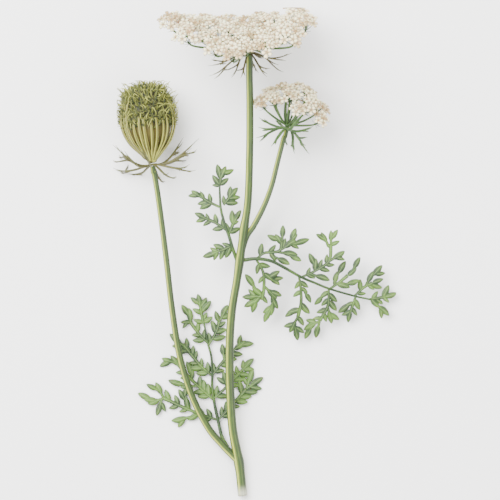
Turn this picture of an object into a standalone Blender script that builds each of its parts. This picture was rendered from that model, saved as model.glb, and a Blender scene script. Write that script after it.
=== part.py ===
# A cut stem of Queen Anne's lace, laid down on a table.
#
# One branching stem carries an open umbel, a smaller umbel and a closed seed head, with three
# fern-like leaves. The plant lies with its cut end, the rims of the umbels and the seed head on
# the table, so its stem rises towards the large umbel.
#
# +X runs to the right of the plant, +Y from the cut end to the large umbel, and +Z up from the
# table. The origin is the middle of the bounding box, on the table.

import math
import random

import bmesh
import bpy
from mathutils import Matrix, Vector

MM = 0.001

# Gap between pieces that are nodes of their own.
SEAT_GAP = 0.3 * MM

# Points nearer than this are one point.
WELD = 1e-6

GOLDEN_ANGLE = math.pi * (3 - math.sqrt(5))

# Shift that puts the bounding box's middle over the origin and its lowest point on the table.
PLANT_SHIFT = Vector((-2.93, 1.43, 0.0)) * MM

# Stem: rib count and rib depth as a share of the radius.
STEM_RIBS = 5
RIB_DEPTH = 0.10

# Centre lines (x, y, z in mm) and radii (mm) at the first and last point.
MAIN_STEM = [
    (-4.2, -148.2, 2.95), (-6.4, -128.4, 4.4), (-10.2, -108.0, 6.8), (-11.7, -84.0, 10.4),
    (-12.0, -58.0, 14.6), (-10.5, -36.0, 18.0), (-7.4, -17.0, 20.8), (-3.6, 11.0, 24.6),
    (-0.9, 30.0, 27.0), (0.1, 60.0, 31.0), (0.2, 86.0, 34.2), (-0.1, 106.0, 36.8),
]
MAIN_STEM_RADII = (2.85, 1.65)
SEED_STEM = [
    (-7.0, -127.0, 4.6), (-16.2, -117.6, 5.4), (-25.0, -107.0, 6.4), (-34.5, -88.2, 7.9),
    (-41.8, -64.8, 9.8), (-46.5, -36.0, 12.1), (-50.2, -4.0, 14.4), (-54.6, 30.0, 16.4),
    (-57.4, 47.0, 17.2),
]
SEED_STEM_RADII = (2.3, 1.5)
SIDE_STEM = [
    (-6.6, -8.5, 21.6), (-2.2, 7.0, 23.0), (2.6, 14.6, 23.6), (8.6, 26.2, 24.0),
    (13.2, 38.4, 24.0), (16.8, 52.6, 23.8), (20.3, 66.2, 23.6),
]
SIDE_STEM_RADII = (1.9, 1.35)

# How far in mm the stem's three ends stop behind the place where their rays meet, and how much
# further back each turns to meet its head squarely.
STEM_STOP = 1.9
STEM_TURN = 4.0

# Umbels: where the rays meet, the way the umbel faces, and its size. Rim heights are at the two
# sides, at the upper edge and at the edge towards the table.
MAIN_UMBEL = dict(
    name="main_umbel", centre=(-0.3, 118.6, 39.2), lean=(-2.5, 15.0), radius=38.5,
    middle_height=12.0, rim_heights=(19.0, 8.5, 11.5), edge=46.5, umbellets=22, florets=122,
    floret=4.4, outward=0.35, sway=-4.0, ray=0.75, pedicel=6.5, turn=20.0, seed=4,
)
SIDE_UMBEL = dict(
    name="side_umbel", centre=(22.6, 73.8, 23.3), lean=(13.0, 10.0), radius=19.6,
    middle_height=25.0, rim_heights=(13.0, 13.0, 13.0), edge=23.0, umbellets=9, florets=36,
    floret=4.2, outward=0.8, sway=0.0, ray=0.7, pedicel=5.0, turn=70.0, seed=9,
)

# A floret's form, as shares of its radius: how far in the notches between petals reach, and how
# far its middle stands over and under the petals. One petal ends at JOINED_TO from the middle of
# the floret next to it.
PETAL_NOTCH = 0.58
PETAL_RISE = 0.22
PETAL_DEPTH = 0.30
JOINED_TO = 0.3

# How far a floret leans for each mm from its umbellet's middle, and how far that middle stands up
# in mm.
FLORET_LEAN = 0.012
UMBELLET_DOME = 0.5

# The knob where rays meet: how far ahead of that place its middle is, and its radius and height
# in an umbel and in the seed head.
KNOB_AHEAD = 1.3 * MM
UMBEL_KNOB = (2.5 * MM, 2.4 * MM)
HEAD_KNOB = (3.0 * MM, 2.6 * MM)

# The short prism that an umbellet's pedicels grow from.
HUB_RADIUS = 1.2 * MM
HUB_HEIGHT = 1.7 * MM

# Places along a blade and its width there, both out of 1.
BRACT_FORM = ((0.0, 0.8), (0.5, 1.0))
LOBE_FORM = ((0.0, 0.5), (0.5, 1.0))
FRUIT_FORM = ((0.0, 0.8), (0.55, 1.0))

# Seed head: the outline of the closed umbel as (height, radius) in mm, along its axis.
SEED_HEAD = dict(centre=(-58.3, 52.2, 17.8), lean=(-6.0, 0.0), rays=18, ray=1.1, core_gap=2.1)
HEAD_OUTLINE = [
    (0.0, 1.9), (5.0, 7.0), (12.5, 13.6), (22.0, 17.1), (33.0, 16.6), (41.0, 12.8),
]
HEAD_TOP = 48.0
FRUIT_ROWS = (21.0, 28.0, 35.0)
TOP_FRUITS = 18

# In the cage of rays, how far their centre lines lie inside that outline and ahead of it, in mm.
# The mass of fruits is domed from DOME_START up to CORE_TOP.
RAY_INSET = 0.9
RAY_AHEAD = 0.8
DOME_START = 38.0
CORE_TOP = HEAD_TOP - 2.0

# Bract whorls, one under each head, on a plate of the given radius and height that lies behind
# the place where the rays meet. A bract forks at about half its length.
PLATE_BEHIND = 0.85 * MM
PLATE_SIZE = (2.7 * MM, 1.2 * MM)
BRACT_ROOT = 1.2 * MM
BRACT_FORKS = (0.4, 0.5)
MAIN_BRACTS = dict(count=11, length=21.0, droop=-26.0, curl=22.0, spread=26.0, thick=0.8, flat=1.0)
SIDE_BRACTS = dict(count=9, length=16.5, droop=-14.0, curl=16.0, spread=24.0, thick=0.8, flat=1.7)
HEAD_BRACTS = dict(count=10, length=25.0, droop=-6.0, curl=26.0, spread=28.0, thick=0.8, flat=1.0)

# Leaves. A rachis is a centre line in mm. Each leaflet is (share along the rachis, bearing in
# degrees from +X, length in mm, drop of its tip in mm).
RIGHT_LEAF = dict(
    name="leaf_right", seed=11, radii=(1.25, 0.6),
    rachis=[
        (-6.4, -6.6, 20.8), (3.8, -5.2, 22.6), (11.4, -6.6, 22.4), (18.8, -9.2, 21.0),
        (28.5, -14.6, 18.2), (37.2, -18.8, 15.4), (46.8, -23.7, 12.2), (55.2, -26.4, 9.6),
        (63.6, -28.2, 7.2), (73.8, -30.2, 5.0),
    ],
    leaflets=[
        (0.12, 24.0, 31.0, 1.0), (0.11, -83.0, 37.0, 9.0), (0.42, 56.0, 34.0, 1.0),
        (0.41, -91.0, 38.0, 11.0), (0.62, 47.0, 27.0, 1.0), (0.61, -110.0, 32.0, 8.0),
        (0.81, 48.0, 25.0, 1.0), (0.81, -109.0, 18.0, 4.5), (0.99, 14.0, 16.0, 3.0),
        (0.99, 52.0, 11.0, 2.0), (0.99, -42.0, 14.0, 3.5),
    ],
)
UPPER_LEAF = dict(
    name="leaf_upper_left", seed=23, radii=(1.15, 0.7),
    rachis=[
        (-6.6, -8.8, 20.8), (-10.3, 0.4, 22.6), (-12.6, 8.0, 22.8), (-14.5, 14.2, 22.4),
        (-16.8, 23.2, 21.4), (-17.7, 30.6, 20.4), (-18.4, 39.0, 19.2),
    ],
    leaflets=[
        (0.22, 192.0, 17.0, 3.0), (0.42, 145.0, 23.5, 4.0), (0.47, 76.0, 13.5, 1.0),
        (0.67, 162.0, 19.5, 4.0), (0.68, 42.0, 15.5, 2.0), (0.86, 128.0, 7.5, 1.0),
        (0.98, 99.0, 12.8, 1.5), (0.98, 70.0, 12.0, 1.0), (0.97, 48.0, 12.5, 1.0),
    ],
)
LOWER_LEAF = dict(
    name="leaf_lower", seed=37, radii=(1.2, 0.6),
    rachis=[
        (-13.2, -119.0, 4.4), (-17.0, -113.0, 3.4), (-19.3, -101.7, 2.6), (-21.7, -93.6, 2.3),
        (-23.0, -82.9, 2.2), (-23.0, -73.8, 2.2), (-23.5, -64.2, 2.2), (-25.4, -56.2, 2.2),
        (-27.0, -47.0, 2.3), (-28.1, -37.4, 2.4),
    ],
    leaflets=[
        (0.24, 161.0, 47.0, 0.9), (0.25, 43.0, 36.0, 0.9), (0.41, 140.0, 38.0, 0.8),
        (0.42, 46.0, 33.0, 0.8), (0.58, 136.0, 35.0, 0.7), (0.60, 41.0, 31.0, 0.7),
        (0.77, 124.0, 26.0, 0.6), (0.78, 68.0, 26.0, 0.6), (0.93, 124.0, 13.0, 0.4),
        (0.93, 74.0, 14.5, 0.4), (0.995, 108.0, 12.0, 0.3),
    ],
)

# A leaflet up to LONGEST_LOBE mm is one lobe, with a width that is a share of its length. A longer
# one is a rib, RIB_SHARE of its length, with pairs of lobes that start at FIRST_LOBE of the rib,
# are spread over LOBE_SPAN of it, and stand off it by LOBE_SWING degrees less SWING_STEP a pair.
LONGEST_LOBE = 16.8
LOBE_WIDTH = 0.28
LOBE_THICK = 0.74
RIB_SHARE = 0.66
FIRST_LOBE = 0.42
LOBE_SPAN = 0.55
LOBE_SWING = 44.0
SWING_STEP = 5.0

# Colour, roughness and metallic value of each material.
FINISHES = {
    "stem_green": ((0.36, 0.47, 0.14, 1.0), 0.55, 0.0),
    "ray_green": ((0.25, 0.42, 0.16, 1.0), 0.55, 0.0),
    "petal_cream": ((0.90, 0.82, 0.70, 1.0), 0.6, 0.0),
    "bract_olive": ((0.40, 0.38, 0.12, 1.0), 0.6, 0.0),
    "bract_green": ((0.27, 0.45, 0.15, 1.0), 0.55, 0.0),
    "head_ray": ((0.60, 0.56, 0.22, 1.0), 0.6, 0.0),
    "fruit_olive": ((0.42, 0.42, 0.12, 1.0), 0.7, 0.0),
    "leaf_green": ((0.32, 0.50, 0.16, 1.0), 0.5, 0.0),
}


def clear_scene():
    for obj in list(bpy.data.objects):
        bpy.data.objects.remove(obj)
    for collection in list(bpy.data.collections):
        bpy.data.collections.remove(collection)


def new_collection(name):
    collection = bpy.data.collections.new(name)
    bpy.context.scene.collection.children.link(collection)
    return collection


def show_as_guide(obj):
    """Leaves a cutter or a guide out of renders and draws it as wires."""
    obj.hide_render = True
    obj.display_type = "WIRE"


def material(name):
    found = bpy.data.materials.get(name)
    if found:
        return found
    made = bpy.data.materials.new(name)
    made.use_nodes = True
    colour, roughness, metallic = FINISHES[name]
    shader = made.node_tree.nodes["Principled BSDF"]
    shader.inputs["Base Color"].default_value = colour
    shader.inputs["Roughness"].default_value = roughness
    shader.inputs["Metallic"].default_value = metallic
    made.diffuse_color = colour
    return made


def mm(point):
    return Vector(point) * MM


def face_outwards(shape):
    bmesh.ops.recalc_face_normals(shape, faces=shape.faces)
    if shape.calc_volume(signed=True) < 0:
        bmesh.ops.reverse_faces(shape, faces=shape.faces)


def as_mesh(obj, name, weld):
    """The evaluated object as a closed mesh object; the object itself is removed."""
    graph = bpy.context.evaluated_depsgraph_get()
    data = bpy.data.meshes.new_from_object(obj.evaluated_get(graph))
    place = obj.matrix_world.copy()
    home = obj.users_collection[0]
    bpy.data.objects.remove(obj)
    shape = bmesh.new()
    shape.from_mesh(data)
    if weld:
        bmesh.ops.remove_doubles(shape, verts=shape.verts, dist=WELD)
    face_outwards(shape)
    shape.to_mesh(data)
    shape.free()
    made = bpy.data.objects.new(name, data)
    made.matrix_world = place
    home.objects.link(made)
    return made


def stem_tube(home, route, radii, section):
    """A tube with the given section along a route, with a radius at each point."""
    curve = bpy.data.curves.new("tube", "CURVE")
    curve.dimensions = "3D"
    curve.use_fill_caps = True
    curve.bevel_mode = "OBJECT"
    curve.bevel_object = section
    spline = curve.splines.new("POLY")
    spline.points.add(len(route) - 1)
    for point, place, radius in zip(spline.points, route, radii):
        point.co = (*place, 1.0)
        point.radius = radius
    obj = bpy.data.objects.new("tube", curve)
    home.objects.link(obj)
    bpy.context.view_layer.update()
    return as_mesh(obj, "tube", weld=True)


def new_object(home, name, shape):
    """Makes the shape an object in the collection, and frees it."""
    data = bpy.data.meshes.new(name)
    shape.to_mesh(data)
    shape.free()
    obj = bpy.data.objects.new(name, data)
    home.objects.link(obj)
    return obj


def loft(home, rings):
    """A closed skin over rings of points. A ring of one point draws the skin in to a tip."""
    shape = bmesh.new()
    rows = [[shape.verts.new(point) for point in ring] for ring in rings]
    for low, high in zip(rows, rows[1:]):
        for k in range(max(len(low), len(high))):
            near = (low[k % len(low)], low[(k + 1) % len(low)])
            far = (high[(k + 1) % len(high)], high[k % len(high)])
            shape.faces.new(list(dict.fromkeys((*near, *far))))
    for row in (rows[0], rows[-1]):
        if len(row) > 2:
            shape.faces.new(row)
    face_outwards(shape)
    return new_object(home, "loft", shape)


def strand(home, route, radii, up, sides=4):
    """A thin many-sided strand along a route, with a radius at each point."""
    rings = []
    for k, (middle, radius) in enumerate(zip(route, radii)):
        along = (route[min(k + 1, len(route) - 1)] - route[max(k - 1, 0)]).normalized()
        across = along.cross(up).normalized()
        over = across.cross(along)
        turns = [math.tau * side / sides for side in range(sides)]
        rings.append(
            [middle + (across * math.cos(a) + over * math.sin(a)) * radius for a in turns]
        )
    return loft(home, rings)


def blade(home, start, end, width, thick, up, shares, bend=0.0, sides=4):
    """A blade or thread with a blunt root and a pointed tip.

    Each of the shares is a place along it and its width there, both out of 1. Bend lifts the
    middle along up.
    """
    along = (end - start).normalized()
    across = along.cross(up).normalized()
    over = across.cross(along)
    rings = []
    for place, swell in shares:
        middle = start.lerp(end, place) + over * bend * 4 * place * (1 - place)
        ring = []
        for k in range(sides):
            angle = math.tau * k / sides
            side = across * math.cos(angle) * width / 2 * swell
            ring.append(middle + side + over * math.sin(angle) * thick / 2 * max(swell, 0.7))
        rings.append(ring)
    return loft(home, [*rings, [end]])


def knob(home, centre, axis, radius, height, sides=8, rings=5):
    """A flattened ball, the swelling where rays or bracts meet."""
    shape = bmesh.new()
    bmesh.ops.create_uvsphere(shape, u_segments=sides, v_segments=rings, radius=1.0)
    turn = axis.to_track_quat("Z", "Y").to_matrix().to_4x4()
    size = Matrix.Diagonal((radius, radius, height / 2, 1.0))
    shape.transform(Matrix.Translation(centre) @ turn @ size)
    return new_object(home, "knob", shape)


def plate(home, centre, axis, radius, height, sides=10):
    """A short round plate, the base that a whorl of bracts grows from."""
    shape = bmesh.new()
    bmesh.ops.create_cone(
        shape, cap_ends=True, segments=sides, radius1=radius, radius2=radius, depth=height
    )
    shape.transform(Matrix.Translation(centre) @ axis.to_track_quat("Z", "Y").to_matrix().to_4x4())
    return new_object(home, "plate", shape)


def fuse(name, pieces, parts, finish, cutter=None):
    """Joins the pieces in one closed solid by a Boolean union, and cuts the cutter from it."""
    first, *others = list(pieces.objects)
    pieces.objects.unlink(first)
    parts.objects.link(first)
    union = first.modifiers.new("union", "BOOLEAN")
    union.operation = "UNION"
    union.solver = "MANIFOLD"
    union.operand_type = "COLLECTION"
    union.collection = pieces
    if cutter:
        trim = first.modifiers.new("trim", "BOOLEAN")
        trim.operation = "DIFFERENCE"
        trim.solver = "MANIFOLD"
        trim.object = cutter
    bpy.context.view_layer.update()
    made = as_mesh(first, name, weld=False)
    for other in others:
        bpy.data.objects.remove(other)
    bpy.data.collections.remove(pieces)
    keep_largest(made)
    made.data.materials.clear()
    made.data.materials.append(material(finish))
    made.data.shade_smooth()
    made.data.set_sharp_from_angle(angle=math.radians(40))
    return made


def keep_largest(obj):
    """Drops the loose scraps that a cut leaves."""
    shape = bmesh.new()
    shape.from_mesh(obj.data)
    left = set(shape.faces)
    groups = []
    while left:
        front = [left.pop()]
        group = set(front)
        while front:
            for edge in front.pop().edges:
                for face in edge.link_faces:
                    if face in left:
                        left.remove(face)
                        group.add(face)
                        front.append(face)
        groups.append(group)
    groups.sort(key=len, reverse=True)
    scraps = [face for group in groups[1:] for face in group]
    bmesh.ops.delete(shape, geom=scraps, context="FACES")
    shape.to_mesh(obj.data)
    shape.free()


def axis_of(lean):
    """The way a head faces: along +Y, leant to the right and up by two angles in degrees."""
    right, up = (math.radians(x) for x in lean)
    return Vector(
        (math.sin(right) * math.cos(up), math.cos(right) * math.cos(up), math.sin(up))
    )


def ribbed_section(guides):
    """The stem's cross section: a circle with shallow ribs, drawn at a radius of 1."""
    curve = bpy.data.curves.new("section", "CURVE")
    curve.dimensions = "2D"
    spline = curve.splines.new("POLY")
    corners = STEM_RIBS * 2
    spline.points.add(corners - 1)
    for k, point in enumerate(spline.points):
        radius = 1.0 if k % 2 else 1.0 - RIB_DEPTH
        angle = 2 * math.pi * k / corners
        point.co = (radius * math.cos(angle), radius * math.sin(angle), 0.0, 1.0)
    spline.use_cyclic_u = True
    obj = bpy.data.objects.new("section", curve)
    guides.objects.link(obj)
    show_as_guide(obj)
    return obj


def stem_branch(home, points, radii, section, extra=0.0):
    route = [mm(p) for p in points]
    last = len(route) - 1
    sizes = [(radii[0] + (radii[1] - radii[0]) * k / last + extra) * MM for k in range(last + 1)]
    return stem_tube(home, route, sizes, section)


def tip_route(points, head):
    """A stem's points with two more, so that it meets its head squarely from behind."""
    axis = axis_of(head["lean"])
    centre = Vector(head["centre"])
    behind = (STEM_STOP + STEM_TURN, STEM_STOP)
    return [*points, *(tuple(centre - axis * back) for back in behind)]


def build_stem(parts, guides):
    section = ribbed_section(guides)
    routes = (
        (tip_route(MAIN_STEM, MAIN_UMBEL), MAIN_STEM_RADII),
        (tip_route(SEED_STEM, SEED_HEAD), SEED_STEM_RADII),
        (tip_route(SIDE_STEM, SIDE_UMBEL), SIDE_STEM_RADII),
    )
    pieces = new_collection("stem_pieces")
    wide = new_collection("stem_cutters")
    for points, radii in routes:
        stem_branch(pieces, points, radii, section)
        stem_branch(wide, points, radii, section, extra=SEAT_GAP / MM)
    stem = fuse("stem", pieces, parts, "stem_green")
    cutter = fuse("stem_clearance", wide, guides, "stem_green")
    show_as_guide(cutter)
    return stem, cutter


def umbel_frame(head):
    """Centre, axis and the two directions across it; the second runs down to the table."""
    axis = axis_of(head["lean"])
    across = axis.cross(Vector((0, 0, 1))).normalized()
    return mm(head["centre"]), axis, across, across.cross(axis).normalized() * -1


def bowl_point(umbel, across_by, down_by):
    """The point of an umbel's bowl or dome over a place in the plane where its rays meet."""
    centre, axis, across, down = umbel_frame(umbel)
    offset = across * (across_by + umbel["sway"]) + down * down_by
    middle = umbel["middle_height"]
    sides, upper, lower = umbel["rim_heights"]
    edge = lower if down_by > 0 else upper
    rise = middle + (sides - middle) * (across_by / umbel["radius"]) ** 2
    rise += (edge - middle) * (down_by / umbel["radius"]) ** 2
    return centre + (offset + axis * rise) * MM


def bowl_normal(umbel, place):
    """The way the bowl or dome faces at a place, towards the open side."""
    step = 1.0
    over = bowl_point(umbel, place.x + step, place.y) - bowl_point(umbel, place.x - step, place.y)
    down = bowl_point(umbel, place.x, place.y + step) - bowl_point(umbel, place.x, place.y - step)
    facing = over.cross(down).normalized()
    return facing if facing.dot(umbel_frame(umbel)[1]) > 0 else -facing


def spiral_places(count, edge, turn):
    """Places spaced evenly over a disc by the golden angle."""
    places = []
    for k in range(count):
        out = edge * math.sqrt((k + 0.35) / (count - 0.65))
        angle = k * GOLDEN_ANGLE + math.radians(turn)
        places.append(Vector((out * math.cos(angle), out * math.sin(angle))))
    return places


def nearest(point, others):
    """Index of the nearest of the others."""
    gaps = [(point - other).length for other in others]
    return gaps.index(min(gaps))


def brush(home, hub, facing, tips):
    """The pedicels of an umbellet: spikes drawn out of the sides and top of a short prism.

    The first tip is the middle one. The others go round it in the same order as the sides.
    """
    middle_tip, *around = tips
    sides = max(3, len(around))
    frame = facing.to_track_quat("Z", "Y").to_matrix().to_4x4()
    into = frame.inverted() @ Matrix.Translation(-hub)

    def bearing(point):
        local = into @ point
        return math.atan2(local.y, local.x)

    shape = bmesh.new()
    bmesh.ops.create_cone(
        shape, cap_ends=True, segments=sides, radius1=HUB_RADIUS, radius2=HUB_RADIUS * 1.2,
        depth=HUB_HEIGHT,
    )
    shape.transform(Matrix.Translation(hub) @ frame)
    shape.normal_update()
    top = max(shape.faces, key=lambda face: face.normal.dot(facing))
    walls = [face for face in shape.faces if abs(face.normal.dot(facing)) < 0.7]
    walls.sort(key=lambda face: bearing(face.calc_center_median()))
    around.sort(key=bearing)

    def misfit(first):
        turns = [
            bearing(walls[(k + first) % sides].calc_center_median()) - bearing(tip)
            for k, tip in enumerate(around)
        ]
        return sum(1 - math.cos(turn) for turn in turns)

    first = min(range(sides), key=misfit)
    goals = {top: middle_tip}
    for k, tip in enumerate(around):
        goals[walls[(k + first) % sides]] = tip
    for face, goal in goals.items():
        spike = bmesh.ops.poke(shape, faces=[face])
        spike["verts"][0].co = goal
    face_outwards(shape)
    return new_object(home, "brush", shape)


def floret(home, spot, facing, radius, neighbour):
    """Five petals round a low middle: a flat ball of one ring, notched between the petals.

    One petal runs into the neighbour. A floret that would reach under the table is lifted onto
    it, and its middle is returned.
    """
    shape = bmesh.new()
    bmesh.ops.create_uvsphere(shape, u_segments=10, v_segments=2, radius=1.0)
    ring = [v for v in shape.verts if abs(v.co.z) < 0.5]
    ring.sort(key=lambda v: math.atan2(v.co.y, v.co.x))
    frame = facing.to_track_quat("Z", "Y").to_matrix()
    way = frame.inverted() @ (neighbour - spot)
    first = math.atan2(way.y, way.x)
    for v in shape.verts:
        v.co = Vector((0, 0, PETAL_RISE if v.co.z > 0 else -PETAL_DEPTH)) * radius
    for k, v in enumerate(ring):
        angle = math.tau * k / len(ring) + first
        reach = PETAL_NOTCH if k % 2 else 1.0
        v.co = Vector((reach * math.cos(angle), reach * math.sin(angle), 0.12 * reach)) * radius
    face_outwards(shape)
    shape.transform(frame.to_4x4())
    lowest = spot.z + min(v.co.z for v in shape.verts)
    middle = spot + Vector((0.0, 0.0, max(0.0, -lowest)))
    shape.transform(Matrix.Translation(middle))
    span = neighbour - middle
    if span.length < radius * 2.2:
        ring[0].co = middle + span * (1 - JOINED_TO * radius / span.length)
    new_object(home, "floret", shape)
    return middle


def curved_ray(start, end, lead_out, lead_in, steps):
    """Points on a curve that leaves start along lead_out and reaches end along lead_in."""
    points = []
    for k in range(steps + 1):
        t = k / steps
        points.append(
            start * (1 - t) ** 3
            + (start + lead_out) * 3 * t * (1 - t) ** 2
            + (end - lead_in) * 3 * t**2 * (1 - t)
            + end * t**3
        )
    return points


def lace(home, umbel, umbellets, rng):
    """The florets, each with a petal on the nearest earlier one, so that they hold together.

    The places under them where their pedicels end are returned, listed by umbellet.
    """
    centre, axis, across, down = umbel_frame(umbel)
    tips = [[] for place in umbellets]
    middles = []
    for spot in spiral_places(umbel["florets"], umbel["edge"], umbel["turn"] * 2):
        owner = nearest(spot, umbellets)
        away = spot - umbellets[owner]
        lean = (across * away.x + down * away.y) * FLORET_LEAN
        leaning = (bowl_normal(umbel, spot) + lean).normalized()
        dome = UMBELLET_DOME * (1 - away.length / umbel["radius"] * 4)
        middle = bowl_point(umbel, *spot) + leaning * dome * MM
        aim = middles[nearest(middle, middles)] if middles else centre
        size = umbel["floret"] * (1 + rng.uniform(-0.03, 0.03)) * MM
        middle = floret(home, middle, leaning, size, aim)
        middles.append(middle)
        tips[owner].append(middle - leaning * (size * PETAL_DEPTH + SEAT_GAP))
    return tips


def build_umbel(umbel, parts):
    """Two nodes: the green rays with their pedicels, and the lace of florets."""
    centre, axis, across, down = umbel_frame(umbel)
    rng = random.Random(umbel["seed"])
    green = new_collection("ray_pieces")
    white = new_collection("floret_pieces")
    knob(green, centre + axis * KNOB_AHEAD, axis, *UMBEL_KNOB)
    umbellets = spiral_places(umbel["umbellets"], umbel["radius"], umbel["turn"])
    for place, tips in zip(umbellets, lace(white, umbel, umbellets, rng)):
        outward = (across * place.x + down * place.y) / umbel["radius"]
        facing = (axis + outward * umbel["outward"]).normalized()
        over = bowl_point(umbel, *place)
        hub = over - facing * umbel["pedicel"] * MM
        hub.z = max(hub.z, HUB_RADIUS * 1.3)
        reach = (hub - centre).length
        lead_out = (outward + axis * 0.25).normalized() * reach * 0.4
        start = centre + (axis * 1.2 + outward * rng.uniform(0.6, 1.0)) * MM
        route = curved_ray(start, hub, lead_out, facing * reach * 0.3, 2)
        strand(green, route, [umbel["ray"] * MM] * len(route), axis.cross(outward))
        tips.sort(key=lambda tip: (tip - over).length)
        brush(green, hub, facing, tips)
    fuse(umbel["name"] + "_rays", green, parts, "ray_green")
    fuse(umbel["name"] + "_florets", white, parts, "petal_cream")


def whorl(head, bracts, parts, name, finish):
    """A whorl of forked bracts on a thin round base."""
    centre, axis, across, down = umbel_frame(head)
    rng = random.Random(bracts["count"])
    pieces = new_collection("bract_pieces")
    plate(pieces, centre - axis * PLATE_BEHIND, axis, *PLATE_SIZE)
    for k in range(bracts["count"]):
        angle = 2 * math.pi * (k + rng.uniform(-0.2, 0.2)) / bracts["count"]
        outward = across * math.cos(angle) + down * math.sin(angle)
        length = bracts["length"] * rng.uniform(0.85, 1.1) * MM
        slope = math.radians(bracts["droop"] + rng.uniform(-8, 8))
        away = (outward * math.cos(slope) + axis * math.sin(slope)).normalized()
        side = away.cross(axis).normalized()
        start = centre - axis * PLATE_BEHIND + outward * BRACT_ROOT
        curl = math.radians(bracts["curl"])
        thread = bracts["thick"] * MM
        wide = thread * bracts["flat"]
        bend_up = axis * math.sin(curl)
        end = start + (away + bend_up / 2) * length
        bract_part(pieces, start, end, wide, thread, axis)
        for turn in (-1.0, 1.0):
            lean = math.radians(bracts["spread"] * turn + rng.uniform(-6, 6))
            onward = (away * math.cos(lean) + side * math.sin(lean) + bend_up).normalized()
            base = start.lerp(end, rng.uniform(*BRACT_FORKS))
            bract_part(pieces, base, base + onward * length * 0.45, wide, thread, axis)
    fuse(name, pieces, parts, finish)


def bract_part(home, start, end, wide, thick, up):
    """One stretch of a bract, kept above the table."""
    start, end = (above_table(p, thick / 2) for p in (start, end))
    blade(home, start, end, wide, thick, up, BRACT_FORM, sides=3)


def above_table(point, half_thickness):
    return Vector((point.x, point.y, max(point.z, half_thickness)))


def outline_radius(height):
    """Radius of the seed head at a height over its base, both in mm."""
    points = HEAD_OUTLINE
    for (low, a), (high, b) in zip(points, points[1:]):
        if height <= high:
            return a + (b - a) * (height - low) / (high - low)
    return points[-1][1]


def cage(home, extra):
    """The incurved rays of the seed head and the knob they grow from, thickened by extra."""
    centre, axis, across, down = umbel_frame(SEED_HEAD)
    radius, height = HEAD_KNOB
    knob(home, centre + axis * KNOB_AHEAD, axis, radius + extra, height + extra * 2)
    for k in range(SEED_HEAD["rays"]):
        angle = math.tau * k / SEED_HEAD["rays"]
        outward = across * math.cos(angle) + down * math.sin(angle)
        outline = HEAD_OUTLINE[: len(HEAD_OUTLINE) - k % 2]
        route = [
            centre + (axis * (h + RAY_AHEAD) + outward * (r - RAY_INSET)) * MM for h, r in outline
        ]
        radii = [SEED_HEAD["ray"] * MM * (1.0 if h < 24 else 0.85) + extra for h, r in outline]
        strand(home, route, radii, outward)


def build_seed_head(parts, guides):
    """Two nodes: the cage of incurved rays, and the mass of fruits that it holds."""
    centre, axis, across, down = umbel_frame(SEED_HEAD)
    rng = random.Random(5)
    pieces = new_collection("cage_pieces")
    cage(pieces, 0.0)
    fuse("seed_head_rays", pieces, parts, "head_ray")
    wide = new_collection("cage_cutters")
    cage(wide, SEAT_GAP)
    cutter = fuse("cage_clearance", wide, guides, "head_ray")
    show_as_guide(cutter)
    fruits = new_collection("fruit_pieces")
    core_solid(fruits, centre, axis)
    for row, height in enumerate(FRUIT_ROWS):
        for k in range(SEED_HEAD["rays"]):
            angle = math.tau * (k + 0.5) / SEED_HEAD["rays"]
            outward = across * math.cos(angle) + down * math.sin(angle)
            level = height + (2.4 if k % 2 else 0.0) + rng.uniform(-0.6, 0.6)
            inner = core_radius(level) - 0.9
            outer = outline_radius(level) + rng.uniform(0.4, 2.2)
            spot = centre + (axis * level + outward * inner) * MM
            tip = centre + (axis * (level + 2.2 + 0.5 * row) + outward * outer) * MM
            fruit(fruits, spot, tip, axis)
    for k in range(TOP_FRUITS):
        share = math.sqrt((k + 0.5) / TOP_FRUITS)
        angle = k * GOLDEN_ANGLE
        outward = across * math.cos(angle) + down * math.sin(angle)
        radius = core_radius(DOME_START + 0.5) * share
        level = DOME_START + (CORE_TOP - DOME_START) * math.sqrt(1 - 0.95 * share**2)
        spot = centre + (axis * (level - 1.2) + outward * radius * 0.95) * MM
        away = (axis + outward * share * 0.55).normalized()
        fruit(fruits, spot, spot + away * rng.uniform(4.0, 6.0) * MM, across)
    fuse("seed_head_fruits", fruits, parts, "fruit_olive", cutter)


def fruit(home, spot, tip, up):
    """One bristly fruit, kept above the table."""
    blade(home, spot, above_table(tip, 0.0), 1.5 * MM, 1.9 * MM, up, FRUIT_FORM)


def core_radius(height):
    """Radius of the fruit mass at a height, in mm: inside the cage, and domed over it."""
    inset = RAY_INSET + SEED_HEAD["core_gap"]
    if height <= DOME_START:
        return max(0.2, outline_radius(height - RAY_AHEAD) - inset)
    side = outline_radius(DOME_START - RAY_AHEAD) - inset
    share = (height - DOME_START) / (CORE_TOP - DOME_START)
    return side * math.sqrt(max(0.0, 1 - share**2))


def core_solid(home, centre, axis):
    """The packed middle that the fruits stand out of: a profile turned round the axis."""
    heights = [7.5, 12.0, 20.0, 28.0, 34.0, DOME_START, 41.5, 43.4, CORE_TOP]
    shape = bmesh.new()
    bmesh.ops.create_uvsphere(shape, u_segments=14, v_segments=len(heights) - 1, radius=1.0)
    levels = sorted({round(v.co.z, 4) for v in shape.verts})
    for v in shape.verts:
        height = heights[levels.index(round(v.co.z, 4))]
        flat = Vector((v.co.x, v.co.y, 0.0))
        radius = core_radius(height)
        flat = flat.normalized() * radius if flat.length > 1e-6 else Vector((0, 0, 0))
        v.co = Vector((flat.x, flat.y, height)) * MM
    face_outwards(shape)
    turn = axis.to_track_quat("Z", "Y").to_matrix().to_4x4()
    shape.transform(Matrix.Translation(centre) @ turn)
    return new_object(home, "core", shape)


def route_point(route, share):
    """The point at a share of a route's length."""
    lengths = [(b - a).length for a, b in zip(route, route[1:])]
    goal = share * sum(lengths)
    for a, b, length in zip(route, route[1:], lengths):
        if goal <= length:
            return a.lerp(b, goal / length)
        goal -= length
    return route[-1].copy()


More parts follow.
